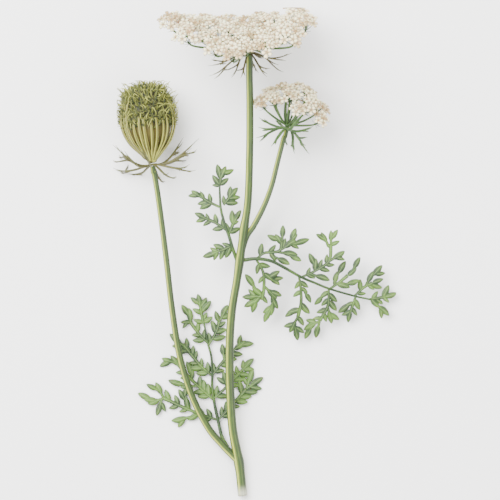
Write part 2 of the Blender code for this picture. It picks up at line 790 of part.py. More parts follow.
def leaflet(home, start, bearing, length, drop, rng):
    """A leaflet, by rule: a short one is a single lobe, a long one a rib with lobes on it."""
    angle = math.radians(bearing)
    reach = Vector((math.cos(angle), math.sin(angle), 0.0)) * length * MM
    end = start + reach - Vector((0, 0, drop * MM))
    up = Vector((0.0, 0.0, 1.0))
    if length <= LONGEST_LOBE:
        width = max(2.4, length * LOBE_WIDTH) * MM
        end = above_table(end, rng.uniform(0.3, 0.6) * MM)
        blade(home, start, end, width, LOBE_THICK * MM, up, LOBE_FORM, bend=length * 0.03 * MM)
        return
    rib_end = start.lerp(end, RIB_SHARE)
    half = (0.34 + 0.012 * length) * MM
    route = [start, start.lerp(end, RIB_SHARE / 2) + up * length * 0.015 * MM, rib_end]
    route = [above_table(p, half + rng.uniform(0.0, 0.15) * MM) for p in route]
    strand(home, route, [half, half, 0.42 * MM], up)
    pairs = 4 if length > 42 else 3 if length > 30 else 2
    for k in range(pairs):
        base = route_point(route, FIRST_LOBE + LOBE_SPAN * k / pairs)
        for turn in (-1, 1):
            part = min(length * (0.46 - 0.05 * k) * rng.uniform(0.88, 1.08), LONGEST_LOBE)
            swing = (LOBE_SWING - SWING_STEP * k) * turn + rng.uniform(-7, 7)
            leaflet(home, base, bearing + swing, part, drop * 0.35, rng)
    tip = min(length * 0.40, LONGEST_LOBE)
    leaflet(home, route[-1], bearing + rng.uniform(-6, 6), tip, drop * 0.34, rng)


def build_leaf(leaf, parts, cutter):
    rng = random.Random(leaf["seed"])
    pieces = new_collection("leaf_pieces")
    route = [mm(p) for p in leaf["rachis"]]
    last = len(route) - 1
    first, end = leaf["radii"]
    radii = [(first + (end - first) * k / last) * MM for k in range(last + 1)]
    strand(pieces, route, radii, Vector((0.0, 0.0, 1.0)))
    for share, bearing, length, drop in leaf["leaflets"]:
        leaflet(pieces, route_point(route, share), bearing, length, drop, rng)
    fuse(leaf["name"], pieces, parts, "leaf_green", cutter)


def main():
    clear_scene()
    parts = new_collection("queen_annes_lace")
    guides = new_collection("cutters")
    stem, cutter = build_stem(parts, guides)
    for umbel in (MAIN_UMBEL, SIDE_UMBEL):
        build_umbel(umbel, parts)
    build_seed_head(parts, guides)
    whorl(MAIN_UMBEL, MAIN_BRACTS, parts, "main_umbel_bracts", "bract_olive")
    whorl(SIDE_UMBEL, SIDE_BRACTS, parts, "side_umbel_bracts", "bract_green")
    whorl(SEED_HEAD, HEAD_BRACTS, parts, "seed_head_bracts", "bract_olive")
    for leaf in (RIGHT_LEAF, UPPER_LEAF, LOWER_LEAF):
        build_leaf(leaf, parts, cutter)
    for obj in parts.objects:
        obj.data.transform(Matrix.Translation(PLANT_SHIFT))


main()
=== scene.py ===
# Looks of a cut stem of Queen Anne's lace, laid on a pale table and seen from above.
import math

import bmesh
import bpy
import numpy as np
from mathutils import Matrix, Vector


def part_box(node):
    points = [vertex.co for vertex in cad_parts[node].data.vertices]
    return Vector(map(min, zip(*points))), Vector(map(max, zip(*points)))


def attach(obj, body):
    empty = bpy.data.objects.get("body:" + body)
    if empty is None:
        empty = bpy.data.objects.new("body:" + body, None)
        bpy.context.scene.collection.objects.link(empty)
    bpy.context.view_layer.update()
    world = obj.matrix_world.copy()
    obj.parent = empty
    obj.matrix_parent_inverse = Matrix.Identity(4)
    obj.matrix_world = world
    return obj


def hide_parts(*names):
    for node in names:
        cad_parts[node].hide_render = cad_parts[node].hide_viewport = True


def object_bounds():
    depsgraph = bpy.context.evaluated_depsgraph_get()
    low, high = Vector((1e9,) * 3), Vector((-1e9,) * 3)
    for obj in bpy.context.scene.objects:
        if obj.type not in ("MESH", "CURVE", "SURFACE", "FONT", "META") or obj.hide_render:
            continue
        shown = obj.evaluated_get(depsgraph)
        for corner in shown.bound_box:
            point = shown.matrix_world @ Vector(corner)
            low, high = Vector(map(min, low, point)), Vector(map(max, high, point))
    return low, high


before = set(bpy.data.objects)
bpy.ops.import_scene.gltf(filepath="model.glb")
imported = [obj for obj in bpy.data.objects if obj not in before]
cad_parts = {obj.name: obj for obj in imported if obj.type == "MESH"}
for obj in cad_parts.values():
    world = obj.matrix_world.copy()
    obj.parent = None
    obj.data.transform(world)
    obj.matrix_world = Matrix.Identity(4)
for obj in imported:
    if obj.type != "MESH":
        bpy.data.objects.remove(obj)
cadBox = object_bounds()

mm = 0.001
plantShift = np.array((-2.93, 1.43, 0.0))  # moves the plant over the origin, in mm
photoScale = 0.6  # mm on the table for each dot of the picture
goldenAngle = math.pi * (3 - math.sqrt(5))
weldGap = 2e-6  # points closer than this, in metres, become one


# Arrays of points into meshes

class Skin:
    # Gathers grids of points and turns them into one mesh.
    def __init__(self):
        self.points, self.faces, self.marks, self.count = [], [], [], 0

    def add(self, grid, marks):
        # Formula: point (i, j) joins (i + 1, j), (i + 1, j + 1) and (i, j + 1) in one face, and the
        # last column joins the first. Grid is (..., n, m, 3) and marks is (..., n, m, 2), a pair of
        # numbers for the materials.
        n, m = grid.shape[-3:-1]
        self.marks.append(np.broadcast_to(marks, grid.shape[:-1] + (2,)).reshape(-1, 2))
        grid = grid.reshape(-1, n, m, 3)
        index = np.arange(grid.shape[0] * n * m).reshape(-1, n, m) + self.count
        low, high = index[:, :-1], index[:, 1:]
        corners = [low, np.roll(low, -1, axis=2), np.roll(high, -1, axis=2), high]
        self.faces.append(np.stack(corners, axis=-1).reshape(-1, 4))
        self.points.append(grid.reshape(-1, 3))
        self.count += grid.shape[0] * n * m

    def build(self, name, finish, nodes):
        # Points past the solids' box are pressed onto its faces. In the large umbel that flattens
        # some petals at the upper right.
        low, high = (np.array(corner) / mm for corner in cadBox)
        points = np.clip(np.concatenate(self.points), low, high)
        faces = np.concatenate(self.faces)
        marks = np.concatenate(self.marks)
        mesh = bpy.data.meshes.new(name)
        mesh.vertices.add(len(points))
        mesh.vertices.foreach_set("co", (points * mm).ravel())
        mesh.loops.add(faces.size)
        mesh.loops.foreach_set("vertex_index", faces.ravel().astype(np.int32))
        mesh.polygons.add(len(faces))
        mesh.polygons.foreach_set("loop_start", np.arange(0, faces.size, 4, dtype=np.int32))
        mesh.update(calc_edges=True)
        grain = mesh.uv_layers.new(name="grain")
        grain.data.foreach_set("uv", marks[faces.ravel()].ravel())
        shape = bmesh.new()  # closes the poles and the ends, where points of a ring meet
        shape.from_mesh(mesh)
        bmesh.ops.remove_doubles(shape, verts=shape.verts, dist=weldGap)
        bmesh.ops.dissolve_degenerate(shape, edges=shape.edges, dist=weldGap / 4)
        bmesh.ops.recalc_face_normals(shape, faces=shape.faces)
        shape.to_mesh(mesh)
        shape.free()
        mesh.shade_smooth()
        mesh.materials.append(finish)
        piece = bpy.data.objects.new(name, mesh)
        bpy.context.scene.collection.objects.link(piece)
        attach(piece, "root")
        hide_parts(*nodes)
        print("built", name, len(mesh.polygons), "faces")
        return piece


def unit(v):
    return v / np.maximum(np.linalg.norm(v, axis=-1, keepdims=True), 1e-9)


def smoothLine(points, steps):
    # Catmull-Rom: each stretch is a cubic through its ends, with tangents half of the chord
    # between their neighbours.
    p = np.asarray(points, float)
    p = np.vstack([2 * p[0] - p[1], p, 2 * p[-1] - p[-2]])
    t = np.linspace(0, len(points) - 1, steps)
    k = np.minimum(t.astype(int), len(points) - 2)
    s = (t - k)[:, None]
    a, b, c, d = p[k], p[k + 1], p[k + 2], p[k + 3]
    return 0.5 * (2 * b + (c - a) * s + (2 * a - 5 * b + 4 * c - d) * s**2
                  + (3 * b - a - 3 * c + d) * s**3)


def cubicLine(start, first, second, end, steps):
    # Bezier: start (1 - t)^3 + first 3 t (1 - t)^2 + second 3 t^2 (1 - t) + end t^3.
    t = np.linspace(0, 1, steps)[:, None]
    return (start * (1 - t) ** 3 + first * 3 * t * (1 - t) ** 2
            + second * 3 * t**2 * (1 - t) + end * t**3)


def sideways(lines, up):
    # Two unit directions across each line: tangent x up, and that x tangent.
    tangent = unit(np.gradient(lines, axis=-2))
    side = unit(np.cross(tangent, np.broadcast_to(up, tangent.shape)))
    return side, np.cross(side, tangent)


def tubes(lines, radii, up, sides, flat=1.0, ribs=0, ribDepth=0.0):
    # Point (s, a) = line(s) + radius(s) (1 - depth (1 - cos(ribs a)) / 2) (cos a side
    # + flat sin a over). The first and last rings shrink to points. Lines is (..., n, 3).
    radii = np.broadcast_to(radii, lines.shape[:-1]).copy()
    lines = np.concatenate([lines[..., :1, :], lines, lines[..., -1:, :]], axis=-2)
    nought = np.zeros_like(radii[..., :1])
    radii = np.concatenate([nought, radii, nought], axis=-1)
    side, over = sideways(lines[..., 1:-1, :], up)
    side = np.concatenate([side[..., :1, :], side, side[..., -1:, :]], axis=-2)[..., None, :]
    over = np.concatenate([over[..., :1, :], over, over[..., -1:, :]], axis=-2)[..., None, :]
    angle = np.linspace(0, 2 * np.pi, sides, endpoint=False)
    swell = 1 - ribDepth * (1 - np.cos(ribs * angle)) / 2
    round1 = (np.cos(angle) * swell)[:, None]
    round2 = (np.sin(angle) * swell * flat)[:, None]
    grid = lines[..., None, :] + radii[..., None, None] * (side * round1 + over * round2)
    along = np.linspace(0, 1, lines.shape[-2])
    marks = np.stack(np.meshgrid(along, angle / (2 * np.pi), indexing="ij"), axis=-1)
    return grid, marks


# Node materials

class Wire:
    # A socket that takes part in sums.
    def __init__(self, tree, socket):
        self.tree, self.socket = tree, socket

    def sum(self, operation, other):
        node = self.tree.nodes.new("ShaderNodeMath")
        node.operation = operation
        plug(self.tree, node.inputs[0], self)
        plug(self.tree, node.inputs[1], other)
        return Wire(self.tree, node.outputs[0])

    def __add__(self, other):
        return self.sum("ADD", other)

    def __radd__(self, other):
        return self.sum("ADD", other)

    def __sub__(self, other):
        return self.sum("SUBTRACT", other)

    def __mul__(self, other):
        return self.sum("MULTIPLY", other)


def plug(tree, target, value):
    if isinstance(value, Wire):
        tree.links.new(value.socket, target)
    elif isinstance(value, (tuple, list)) and len(value) == 3 and target.type == "RGBA":
        target.default_value = (*value, 1.0)
    else:
        target.default_value = value


class Finish:
    # One material. node() makes any node, and the other calls are built on it.
    def __init__(self, name, roughness=0.6, **fixed):
        self.material = bpy.data.materials.new(name)
        self.material.use_nodes = True
        self.tree = self.material.node_tree
        self.shader = self.tree.nodes["Principled BSDF"]
        self.shader.inputs["Roughness"].default_value = roughness
        for socket, value in fixed.items():
            self.shader.inputs[socket.replace("_", " ")].default_value = value

    def node(self, kind, settings=None, sockets=None, out=0):
        node = self.tree.nodes.new("ShaderNode" + kind)
        for key, value in (settings or {}).items():
            setattr(node, key, value)
        for key, value in (sockets or {}).items():
            plug(self.tree, node.inputs[key], value)
        return Wire(self.tree, node.outputs[out])

    def grain(self):
        # The two marks that each grid carries.
        pair = self.node("UVMap", {"uv_map": "grain"})
        x = self.node("SeparateXYZ", None, {0: pair}, 0)
        y = Wire(self.tree, x.socket.node.outputs[1])
        return x, y

    def noise(self, scale, detail=3.0, rough=0.6):
        place = self.node("TexCoord", None, None, 3)
        return self.node("TexNoise", None, {"Vector": place, "Scale": scale, "Detail": detail,
                                            "Roughness": rough})

    def ramp(self, value, low, high):
        # 0 below low, 1 above high, smooth between.
        return self.node("MapRange", {"interpolation_type": "SMOOTHSTEP"},
                         {0: value, 1: low, 2: high, 3: 0.0, 4: 1.0})

    def mix(self, share, first, second):
        return self.node("Mix", {"data_type": "RGBA"}, {0: share, 6: first, 7: second}, 2)

    def colour(self, value):
        plug(self.tree, self.shader.inputs["Base Color"], value)

    def rough(self, value):
        plug(self.tree, self.shader.inputs["Roughness"], value)

    def relief(self, height, strength, distance):
        bump = self.node("Bump", None, {"Height": height, "Strength": strength,
                                        "Distance": distance})
        plug(self.tree, self.shader.inputs["Normal"], bump)


def stemFinish():
    # Dark green with a painted highlight along the upper side towards the key light and painted
    # shade along the opposite flank, both running along the stem, ribs and a whitish cut end.
    f = Finish("stemGreen", 0.5, Subsurface_Weight=0.05, Subsurface_Scale=0.002)
    along, around = f.grain()
    ribs = f.node("Math", {"operation": "COSINE"}, {0: around * (2 * math.pi * stem["ribs"])})
    paintedLightAndShade = f.node("Math", {"operation": "COSINE"}, {0: around * (4 * math.pi) - 4.5})
    fibre = f.noise(60.0, 4.0, 0.7)
    colour = f.mix(f.ramp(fibre + ribs * 0.12, 0.35, 0.7), (0.019, 0.042, 0.002),
                   (0.046, 0.086, 0.004))
    # painted highlight: a pale band along the side of the stem that faces the key light
    colour = f.mix(f.ramp(paintedLightAndShade - fibre * 0.4 + ribs * 0.1, 0.42, 0.72), colour, (0.31, 0.35, 0.04))
    # painted shade: a dark band along the flank turned away from the key light
    colour = f.mix(f.ramp(paintedLightAndShade + fibre * 0.5, -0.2, -0.8) * 0.75, colour, (0.009, 0.021, 0.002))
    cut = f.ramp(along, 0.035, 0.008)
    f.colour(f.mix(cut * 0.8, colour, (0.50, 0.50, 0.38)))
    f.rough(0.42 + fibre * 0.25)
    f.relief(ribs * 0.5 + fibre * 0.6, 0.35, 0.0004)
    return f.material


def rayFinish(name, dark, light, tip):
    # A thin stalk: stripes along it, and another tint towards its far end.
    f = Finish(name, 0.55, Subsurface_Weight=0.05, Subsurface_Scale=0.001)
    along, around = f.grain()
    stripe = f.node("Math", {"operation": "COSINE"}, {0: around * (2 * math.pi * 3)})
    fibre = f.noise(140.0, 3.0, 0.6)
    colour = f.mix(f.ramp(stripe * 0.5 + fibre, 0.3, 1.0), dark, light)
    f.colour(f.mix(f.ramp(along, 0.35, 1.0) * 0.75, colour, tip))
    f.rough(0.45 + fibre * 0.25)
    return f.material


def petalFinish():
    # Cream, in another tint on each petal, with painted shade browning the throat, beige patches
    # and fine veins.
    f = Finish("petalCream", 0.6, Subsurface_Weight=0.15, Subsurface_Scale=0.002)
    along, tint = f.grain()
    veins = f.noise(900.0, 2.0, 0.5)
    paintedThroatShade = f.ramp(along, 0.62, 0.1)
    colour = f.mix(f.ramp(tint, 0.0, 0.6), (0.36, 0.265, 0.12), (0.88, 0.78, 0.50))
    # painted shade: brown towards each petal's foot, where the middle of a floret lies in shade
    colour = f.mix(paintedThroatShade * 0.85, colour, (0.22, 0.14, 0.05))
    f.colour(f.mix(f.ramp(f.noise(70.0, 2.0), 0.45, 0.75) * 0.4, colour, (0.46, 0.355, 0.18)))
    f.relief(veins, 0.3, 0.0001)
    return f.material


def leafFinish():
    # Soft green: painted shade darkening each lobe towards its edges, where the blade folds down, a
    # pale midrib on every lobe and lighter tips.
    f = Finish("leafGreen", 0.5, Subsurface_Weight=0.08, Subsurface_Scale=0.0015)
    along, across = f.grain()
    fromRib = f.node("Math", {"operation": "ABSOLUTE"}, {0: across})
    patch = f.noise(75.0, 2.0, 0.6)
    fine = f.noise(420.0, 3.0, 0.6)
    colour = f.mix(f.ramp(patch, 0.44, 0.60), (0.010, 0.032, 0.002), (0.060, 0.130, 0.009))
    colour = f.mix(f.ramp(along, 0.3, 1.0) * 0.35, colour, (0.10, 0.20, 0.020))
    colour = f.mix(f.ramp(fine, 0.4, 0.8) * 0.35, colour, (0.010, 0.032, 0.003))
    # painted shade: darker towards each lobe's edges, where the blade folds down away from the
    # light
    colour = f.mix(f.ramp(fromRib, 0.66, 1.0) * 0.7, colour, (0.008, 0.026, 0.002))
    rib = f.ramp(fromRib, 0.22, 0.04) * f.ramp(along, 1.0, 0.7)
    f.colour(f.mix(rib * 0.5, colour, (0.19, 0.31, 0.06)))
    f.rough(0.42 + fine * 0.3)
    f.relief(fine * 0.5 + f.ramp(fromRib, 0.05, 0.5), 0.5, 0.0003)
    return f.material


def fruitFinish():
    # Dark olive fruits whose bristles and curls run out to a pale straw.
    f = Finish("fruitOlive", 0.7)
    along, tint = f.grain()
    mottle = f.noise(260.0, 3.0, 0.6)
    colour = f.mix(tint, (0.016, 0.026, 0.006), (0.10, 0.112, 0.012))
    straw = f.ramp(along, 0.4, 1.0) * f.ramp(tint, 0.3, 1.0) * 0.8
    colour = f.mix(straw, colour, (0.45, 0.46, 0.09))
    f.colour(f.mix(f.ramp(mottle, 0.45, 0.75) * 0.5, colour, (0.020, 0.024, 0.010)))
    f.relief(mottle, 0.4, 0.0002)
    return f.material


def coreFinish():
    # Brownish olive between the rays, and a near-black grey green among the fruits, which is
    # painted shade for the deep inside of the head.
    f = Finish("headInside", 0.8)
    along, around = f.grain()
    mottle = f.noise(160.0, 4.0, 0.7)
    # painted shade: the upper core goes near black, standing for the shaded depths among the fruits
    colour = f.mix(f.ramp(along, 0.3, 0.5), (0.11, 0.085, 0.012), (0.012, 0.017, 0.009))
    f.colour(f.mix(f.ramp(mottle, 0.3, 0.7) * 0.5, colour, (0.11, 0.10, 0.03)))
    f.relief(mottle, 0.8, 0.0008)
    return f.material


# Stem

stem = {
    "sides": 44, "ribs": 11, "ribDepth": 0.09, "steps": 150,
    "main": [(-4.2, -148.2, 2.95), (-6.4, -128.4, 4.4), (-10.2, -108.0, 6.8),
             (-11.7, -84.0, 10.4), (-12.0, -58.0, 14.6), (-10.5, -36.0, 18.0),
             (-7.4, -17.0, 20.8), (-3.6, 11.0, 24.6), (-0.9, 30.0, 27.0), (0.1, 60.0, 31.0),
             (0.2, 86.0, 34.2), (-0.1, 106.0, 36.8)],
    "mainRadii": (2.85, 1.95),
    "seed": [(-7.0, -127.0, 4.6), (-16.2, -117.6, 5.4), (-25.0, -107.0, 6.4),
             (-34.5, -88.2, 7.9), (-41.8, -64.8, 9.8), (-46.5, -36.0, 12.1),
             (-50.2, -4.0, 14.4), (-54.6, 30.0, 16.4), (-57.4, 47.0, 17.2)],
    "seedRadii": (2.3, 1.5),
    "side": [(-6.6, -8.5, 21.6), (-2.2, 7.0, 23.0), (2.6, 14.6, 23.6), (8.6, 26.2, 24.0),
             (13.2, 38.4, 24.0), (16.8, 52.6, 23.8), (20.3, 66.2, 23.6)],
    "sideRadii": (1.9, 1.35),
    "headSwell": (0.55, 0.012), "joints": (0.078, 0.49, 0.545), "jointSwell": (0.42, 0.016),
}
mainUmbel = {
    "centre": (-0.3, 118.6, 39.2), "lean": (-2.5, 15.0), "radius": 43.5, "bowlRadius": 38.5,
    "middle": 12.0, "rims": (19.0, 8.5, 11.5), "sway": -4.0, "umbellets": 32, "outward": 0.4,
    "upturn": 0.55, "lift": 0.35, "turn": 12.0, "rayRadius": 0.66, "pedicel": 7.0,
    "florets": 8, "spread": 6.6, "dome": 2.2, "floret": 2.9, "seed": 4,
}
sideUmbel = {
    "centre": (22.6, 73.8, 23.3), "lean": (13.0, 10.0), "radius": 21.0, "bowlRadius": 19.6,
    "middle": 25.0, "rims": (13.0, 13.0, 13.0), "sway": 0.0, "umbellets": 16, "outward": 0.75,
    "upturn": 0.35, "lift": 0.3, "turn": 70.0, "rayRadius": 0.6, "pedicel": 5.6,
    "florets": 7, "spread": 4.9, "dome": 1.8, "floret": 2.65, "seed": 9,
}
seedHead = {
    "centre": (-58.3, 52.2, 17.8), "lean": (-6.0, 0.0), "rays": 26, "rayRadius": 0.95,
    "flat": 0.5, "shortRay": 0.7, "curls": 380,
    "outline": [(0.0, 1.9), (5.0, 7.0), (12.5, 13.6), (22.0, 17.1), (33.0, 16.6), (41.0, 12.8)],
    "top": 47.0, "coreGap": 2.4, "domeStart": 38.0, "fruits": 260, "fruitRadius": 0.72,
    "fruitLength": (3.0, 4.6), "bristles": 6, "bristleLength": 2.3, "bristleRadius": 0.13,
    "curlTop": 45.5, "curlFall": 24.0, "curlLength": (5.0, 10.0), "curlRadius": 0.34, "seed": 5,
}


def headFrame(head):
    # The head's centre, the way it faces, and two directions across it; the last runs down.
    right, up = (math.radians(x) for x in head["lean"])
    axis = np.array((math.sin(right) * math.cos(up), math.cos(right) * math.cos(up),
                     math.sin(up)))
    across = unit(np.cross(axis, (0.0, 0.0, 1.0)))
    return np.array(head["centre"]) + plantShift, axis, across, -np.cross(across, axis)


def stemLine(points, head):
    centre, axis, across, down = headFrame(head)
    tip = [centre - plantShift - axis * 5.9, centre - plantShift - axis * 1.9]
    return smoothLine(np.vstack([points, tip]) + plantShift, stem["steps"])


def makeStem():
    skin = Skin()
    for line, radii, head in (("main", "mainRadii", mainUmbel), ("seed", "seedRadii", seedHead),
                              ("side", "sideRadii", sideUmbel)):
        path = stemLine(stem[line], head)
        s = np.linspace(0, 1, len(path))
        first, last = stem[radii]
        radius = first + (last - first) * s
        swell, spread = stem["headSwell"]
        radius += swell * np.exp(-((s - 1.0) / spread) ** 2)  # swells under its head
        if line == "main":
            swell, spread = stem["jointSwell"]
            for joint in stem["joints"]:  # and where a branch or leaf leaves it
                radius += swell * np.exp(-((s - joint) / spread) ** 2)
        grid, marks = tubes(path, radius, (0.0, 0.0, 1.0), stem["sides"], 1.0, stem["ribs"],
                            stem["ribDepth"])
        if line != "main":
            marks[..., 0] = 0.1 + 0.9 * marks[..., 0]  # only the main stem has a cut end
        skin.add(grid, marks)
    skin.build("stemRibbed", stemFinish(), ["stem"])


# Umbels

def bowlPoints(umbel, spots):
    # centre + across x + down y + axis h, where h = middle + (sides - middle) (x / radius)^2
    # + (edge - middle) (y / radius)^2, with the upper rim as edge over the middle, and the lower
    # rim under it.
    centre, axis, across, down = headFrame(umbel)
    x, y = (spots[..., :1] / umbel["bowlRadius"], spots[..., 1:] / umbel["bowlRadius"])
    sides, upper, lower = umbel["rims"]
    edge = np.where(y > 0, lower, upper)
    middle = umbel["middle"]
    rise = middle + (sides - middle) * x**2 + (edge - middle) * y**2
    return (centre + across * (spots[..., :1] + umbel["sway"]) + down * spots[..., 1:]
            + axis * rise)


def sunflower(count, radius, turn=0.0):
    # Point k lies at radius sqrt((k + 0.4) / count), turned by k golden angles.
    k = np.arange(count)
    out = radius * np.sqrt((k + 0.4) / (count - 0.6))
    angle = k * goldenAngle + math.radians(turn)
    return np.stack([out * np.cos(angle), out * np.sin(angle)], axis=-1)


petalForm = {"foot": 0.06, "notch": 0.26, "width": 0.36, "lift": 0.26, "dip": 0.16, "fold": 0.10,
             "thick": 0.05, "outer": 0.28, "throat": (0.2, 0.12)}


def petals():
    # Five petals in the unit circle. Along u and round t: x = u (1 - notch (1 - |cos t|)^2 u^2),
    # y = width cos t sin(0.8 pi u^1.1), z = lift u^2 - dip u^5 - fold cos^2 t u
    # + thick sin t sin(pi u). Petals that face +x are longer by outer.
    form = petalForm
    u = np.linspace(form["foot"], 1.0, 5)[:, None]
    t = np.linspace(0, 2 * np.pi, 6, endpoint=False)[None, :]
    across = np.cos(t)
    x = u * (1 - form["notch"] * (1 - np.abs(across)) ** 2 * u**2)
    y = across * form["width"] * np.sin(np.pi * u**1.1 * 0.80)
    z = (form["lift"] * u**2 - form["dip"] * u**5 - form["fold"] * across**2 * u
         + form["thick"] * np.sin(t) * np.sin(np.pi * u))
    petal = np.stack([x, y, z], axis=-1)
    turn = 2 * np.pi * np.arange(5) / 5
    longer = 1 + form["outer"] * np.maximum(np.cos(turn), 0)[:, None, None]
    px, py = petal[None, ..., 0] * longer, petal[None, ..., 1] * (0.5 + 0.5 * longer)
    c, s = np.cos(turn)[:, None, None], np.sin(turn)[:, None, None]
    z5 = np.broadcast_to(petal[None, ..., 2], px.shape)
    grid = np.stack([px * c - py * s, px * s + py * c, z5], axis=-1)
    return grid, np.broadcast_to(u, (5, 6))


def frames(facing, towards):
    # Columns: towards made square to facing, facing x that, and facing.
    z = unit(facing)
    x = unit(towards - np.sum(towards * z, axis=-1, keepdims=True) * z)
    return np.stack([x, np.cross(z, x), z], axis=-1)


umbelForm = {
    "shake": 0.9, "threads": 6, "threadLength": 3.6, "threadRise": 1.6, "threadRadius": 0.26,
    "pedicelRadius": 0.2, "pedicelBow": 0.10, "rayRibs": 4, "rayRibDepth": 0.14, "slope": 0.085,
    "knob": [(0.05, 1.0), (0.5, 2.0), (1.3, 2.5), (2.0, 2.0), (2.4, 0.9)],
}


def makeUmbel(umbel, name, node, rayMaterial, petalMaterial):
    centre, axis, across, down = headFrame(umbel)
    rng = np.random.default_rng(umbel["seed"])
    places = sunflower(umbel["umbellets"], umbel["radius"], umbel["turn"])
    places += rng.uniform(-umbelForm["shake"], umbelForm["shake"], places.shape)
    outward = (across * places[:, :1] + down * places[:, 1:]) / umbel["radius"]
    skyward = np.array((0.0, 0.0, 1.0))
    facing = unit(axis + outward * umbel["outward"] + skyward * umbel["upturn"]
                  + rng.normal(0, 0.08, outward.shape))
    over = bowlPoints(umbel, places)
    over += axis * rng.uniform(-1.0, 0.6, (len(places), 1))
    hub = over - facing * umbel["pedicel"]
    # rays: cubic curves from the centre to the hubs
    reach = np.linalg.norm(hub - centre, axis=-1)[:, None]
    lead = unit(outward + axis * 0.25) * reach * 0.3
    start = centre + axis * 1.2 + outward * 1.0
    arrive = (hub - facing * reach * 0.14)[:, None]
    rays = cubicLine(start[:, None], (start + lead)[:, None], arrive, hub[:, None], 14)
    green = Skin()
    thick = umbel["rayRadius"] * (1.25 - 0.4 * np.linspace(0, 1, 14))
    green.add(*tubes(rays, thick, axis, 8, 1.0, umbelForm["rayRibs"], umbelForm["rayRibDepth"]))
    # florets of each umbellet: a small dome of sunflower places
    spots = sunflower(umbel["florets"], umbel["spread"])
    spots = spots[None] + rng.uniform(-0.8, 0.8, (len(places),) + spots.shape)
    size = rng.uniform(0.84, 1.06, (len(places), 1, 1))
    spots = spots * size
    local = frames(facing, outward + across * 0.01)
    out = np.linalg.norm(spots, axis=-1, keepdims=True)
    lift = umbel["dome"] * (1 - (out / umbel["spread"]) ** 2)
    offset = np.concatenate([spots, lift], axis=-1)
    middle = over[:, None] + np.einsum("kij,kfj->kfi", local, offset)
    lean = np.concatenate([spots * umbelForm["slope"], np.ones_like(lift)], axis=-1)
    lean[..., :2] += rng.normal(0, 0.09, lean[..., :2].shape)
    look = unit(np.einsum("kij,kfj->kfi", local, lean) + skyward * umbel["lift"])
    away = np.einsum("kij,kfj->kfi", local, np.concatenate([spots, 0 * lift], axis=-1))
    radius = umbel["floret"] * (0.80 + 0.24 * out / umbel["spread"])
    radius = radius * rng.uniform(0.88, 1.1, radius.shape)
    floor = radius[..., 0] * 0.95 + 0.15  # keeps a floret's rim over the table
    middle[..., 2] = np.maximum(middle[..., 2], floor * np.sqrt(1 - look[..., 2] ** 2) + 0.1)
    # pedicels: from the hub to under each floret, bowed outwards
    base = middle - look * radius * 0.18
    s = np.linspace(0, 1, 6)[:, None]
    bow = np.sin(np.pi * s) * umbelForm["pedicelBow"]
    stalks = hub[:, None, None] * (1 - s) + base[:, :, None] * s + away[:, :, None] * bow
    thick = umbelForm["pedicelRadius"] + 0.07 * s[:, 0] ** 4
    green.add(*tubes(stalks, thick, facing[:, None, None], 4))
    # bracteoles: thin green threads round each hub
    k = umbelForm["threads"]
    turn = 2 * np.pi * np.arange(k) / k + rng.uniform(0, 1, (len(places), 1))
    star = np.stack([np.cos(turn), np.sin(turn), -0.25 + 0 * turn], axis=-1)
    star = np.einsum("kij,kfj->kfi", local, star)
    q = np.linspace(0, 1, 5)[:, None]
    threads = hub[:, None, None] + star[:, :, None] * (q * umbelForm["threadLength"])
    threads = threads + facing[:, None, None] * q**2 * umbelForm["threadRise"]
    threads[..., 2] = np.maximum(threads[..., 2], 0.3)
    thick = umbelForm["threadRadius"] * (1.0 - 0.8 * q[:, 0])
    green.add(*tubes(threads, thick, facing[:, None, None], 4))
    # the knob where the rays meet
    profile = np.array(umbelForm["knob"])
    knob = centre + axis * profile[:, :1]
    green.add(*tubes(knob, profile[:, 1], down, 16))
    green.build(name + "Rays", rayMaterial, [node + "_rays"])
    # petals, turned a little at random round the way that their floret looks
    white = Skin()
    grid, mark = petals()
    turned = frames(look, away + across * 0.01)
    spin = rng.normal(0, 0.25, radius.shape[:2])
    c, s = np.cos(spin)[..., None], np.sin(spin)[..., None]
    x = turned[..., 0] * c + turned[..., 1] * s
    y = turned[..., 1] * c - turned[..., 0] * s
    turned = np.stack([x, y, turned[..., 2]], axis=-1)
    placed = np.einsum("kfij,pumj->kfpumi", turned, grid) * radius[..., None, None, None]
    placed = placed + middle[:, :, None, None, None]
    placed[..., 2] = np.maximum(placed[..., 2], 0.02)
    tint = rng.uniform(0, 1, placed.shape[:2] + (1,)) * rng.uniform(0.7, 1, placed.shape[:3])
    tint = tint[..., None, None]
    marks = np.stack([np.broadcast_to(mark, placed.shape[:-1]),
                      np.broadcast_to(tint, placed.shape[:-1])], axis=-1)
    white.add(placed, marks)
    # throat of each floret: a low button
    ring = np.linspace(0, np.pi, 5)[:, None]
    around = np.linspace(0, 2 * np.pi, 5, endpoint=False)[None, :]
    wide, high = petalForm["throat"]
    button = np.stack([wide * np.sin(ring) * np.cos(around), wide * np.sin(ring) * np.sin(around),
                       high * np.cos(ring) + 0 * around], axis=-1)
    placed = np.einsum("kfij,umj->kfumi", turned, button) * radius[..., None, None]
    placed = placed + middle[:, :, None, None]
    # the button's mark lies at the petals' foot, so it takes the painted shade of the throat
    white.add(placed, np.array((0.05, 0.3)))
    white.build(name + "Petals", petalMaterial, [node + "_florets"])


# Bracts under the heads

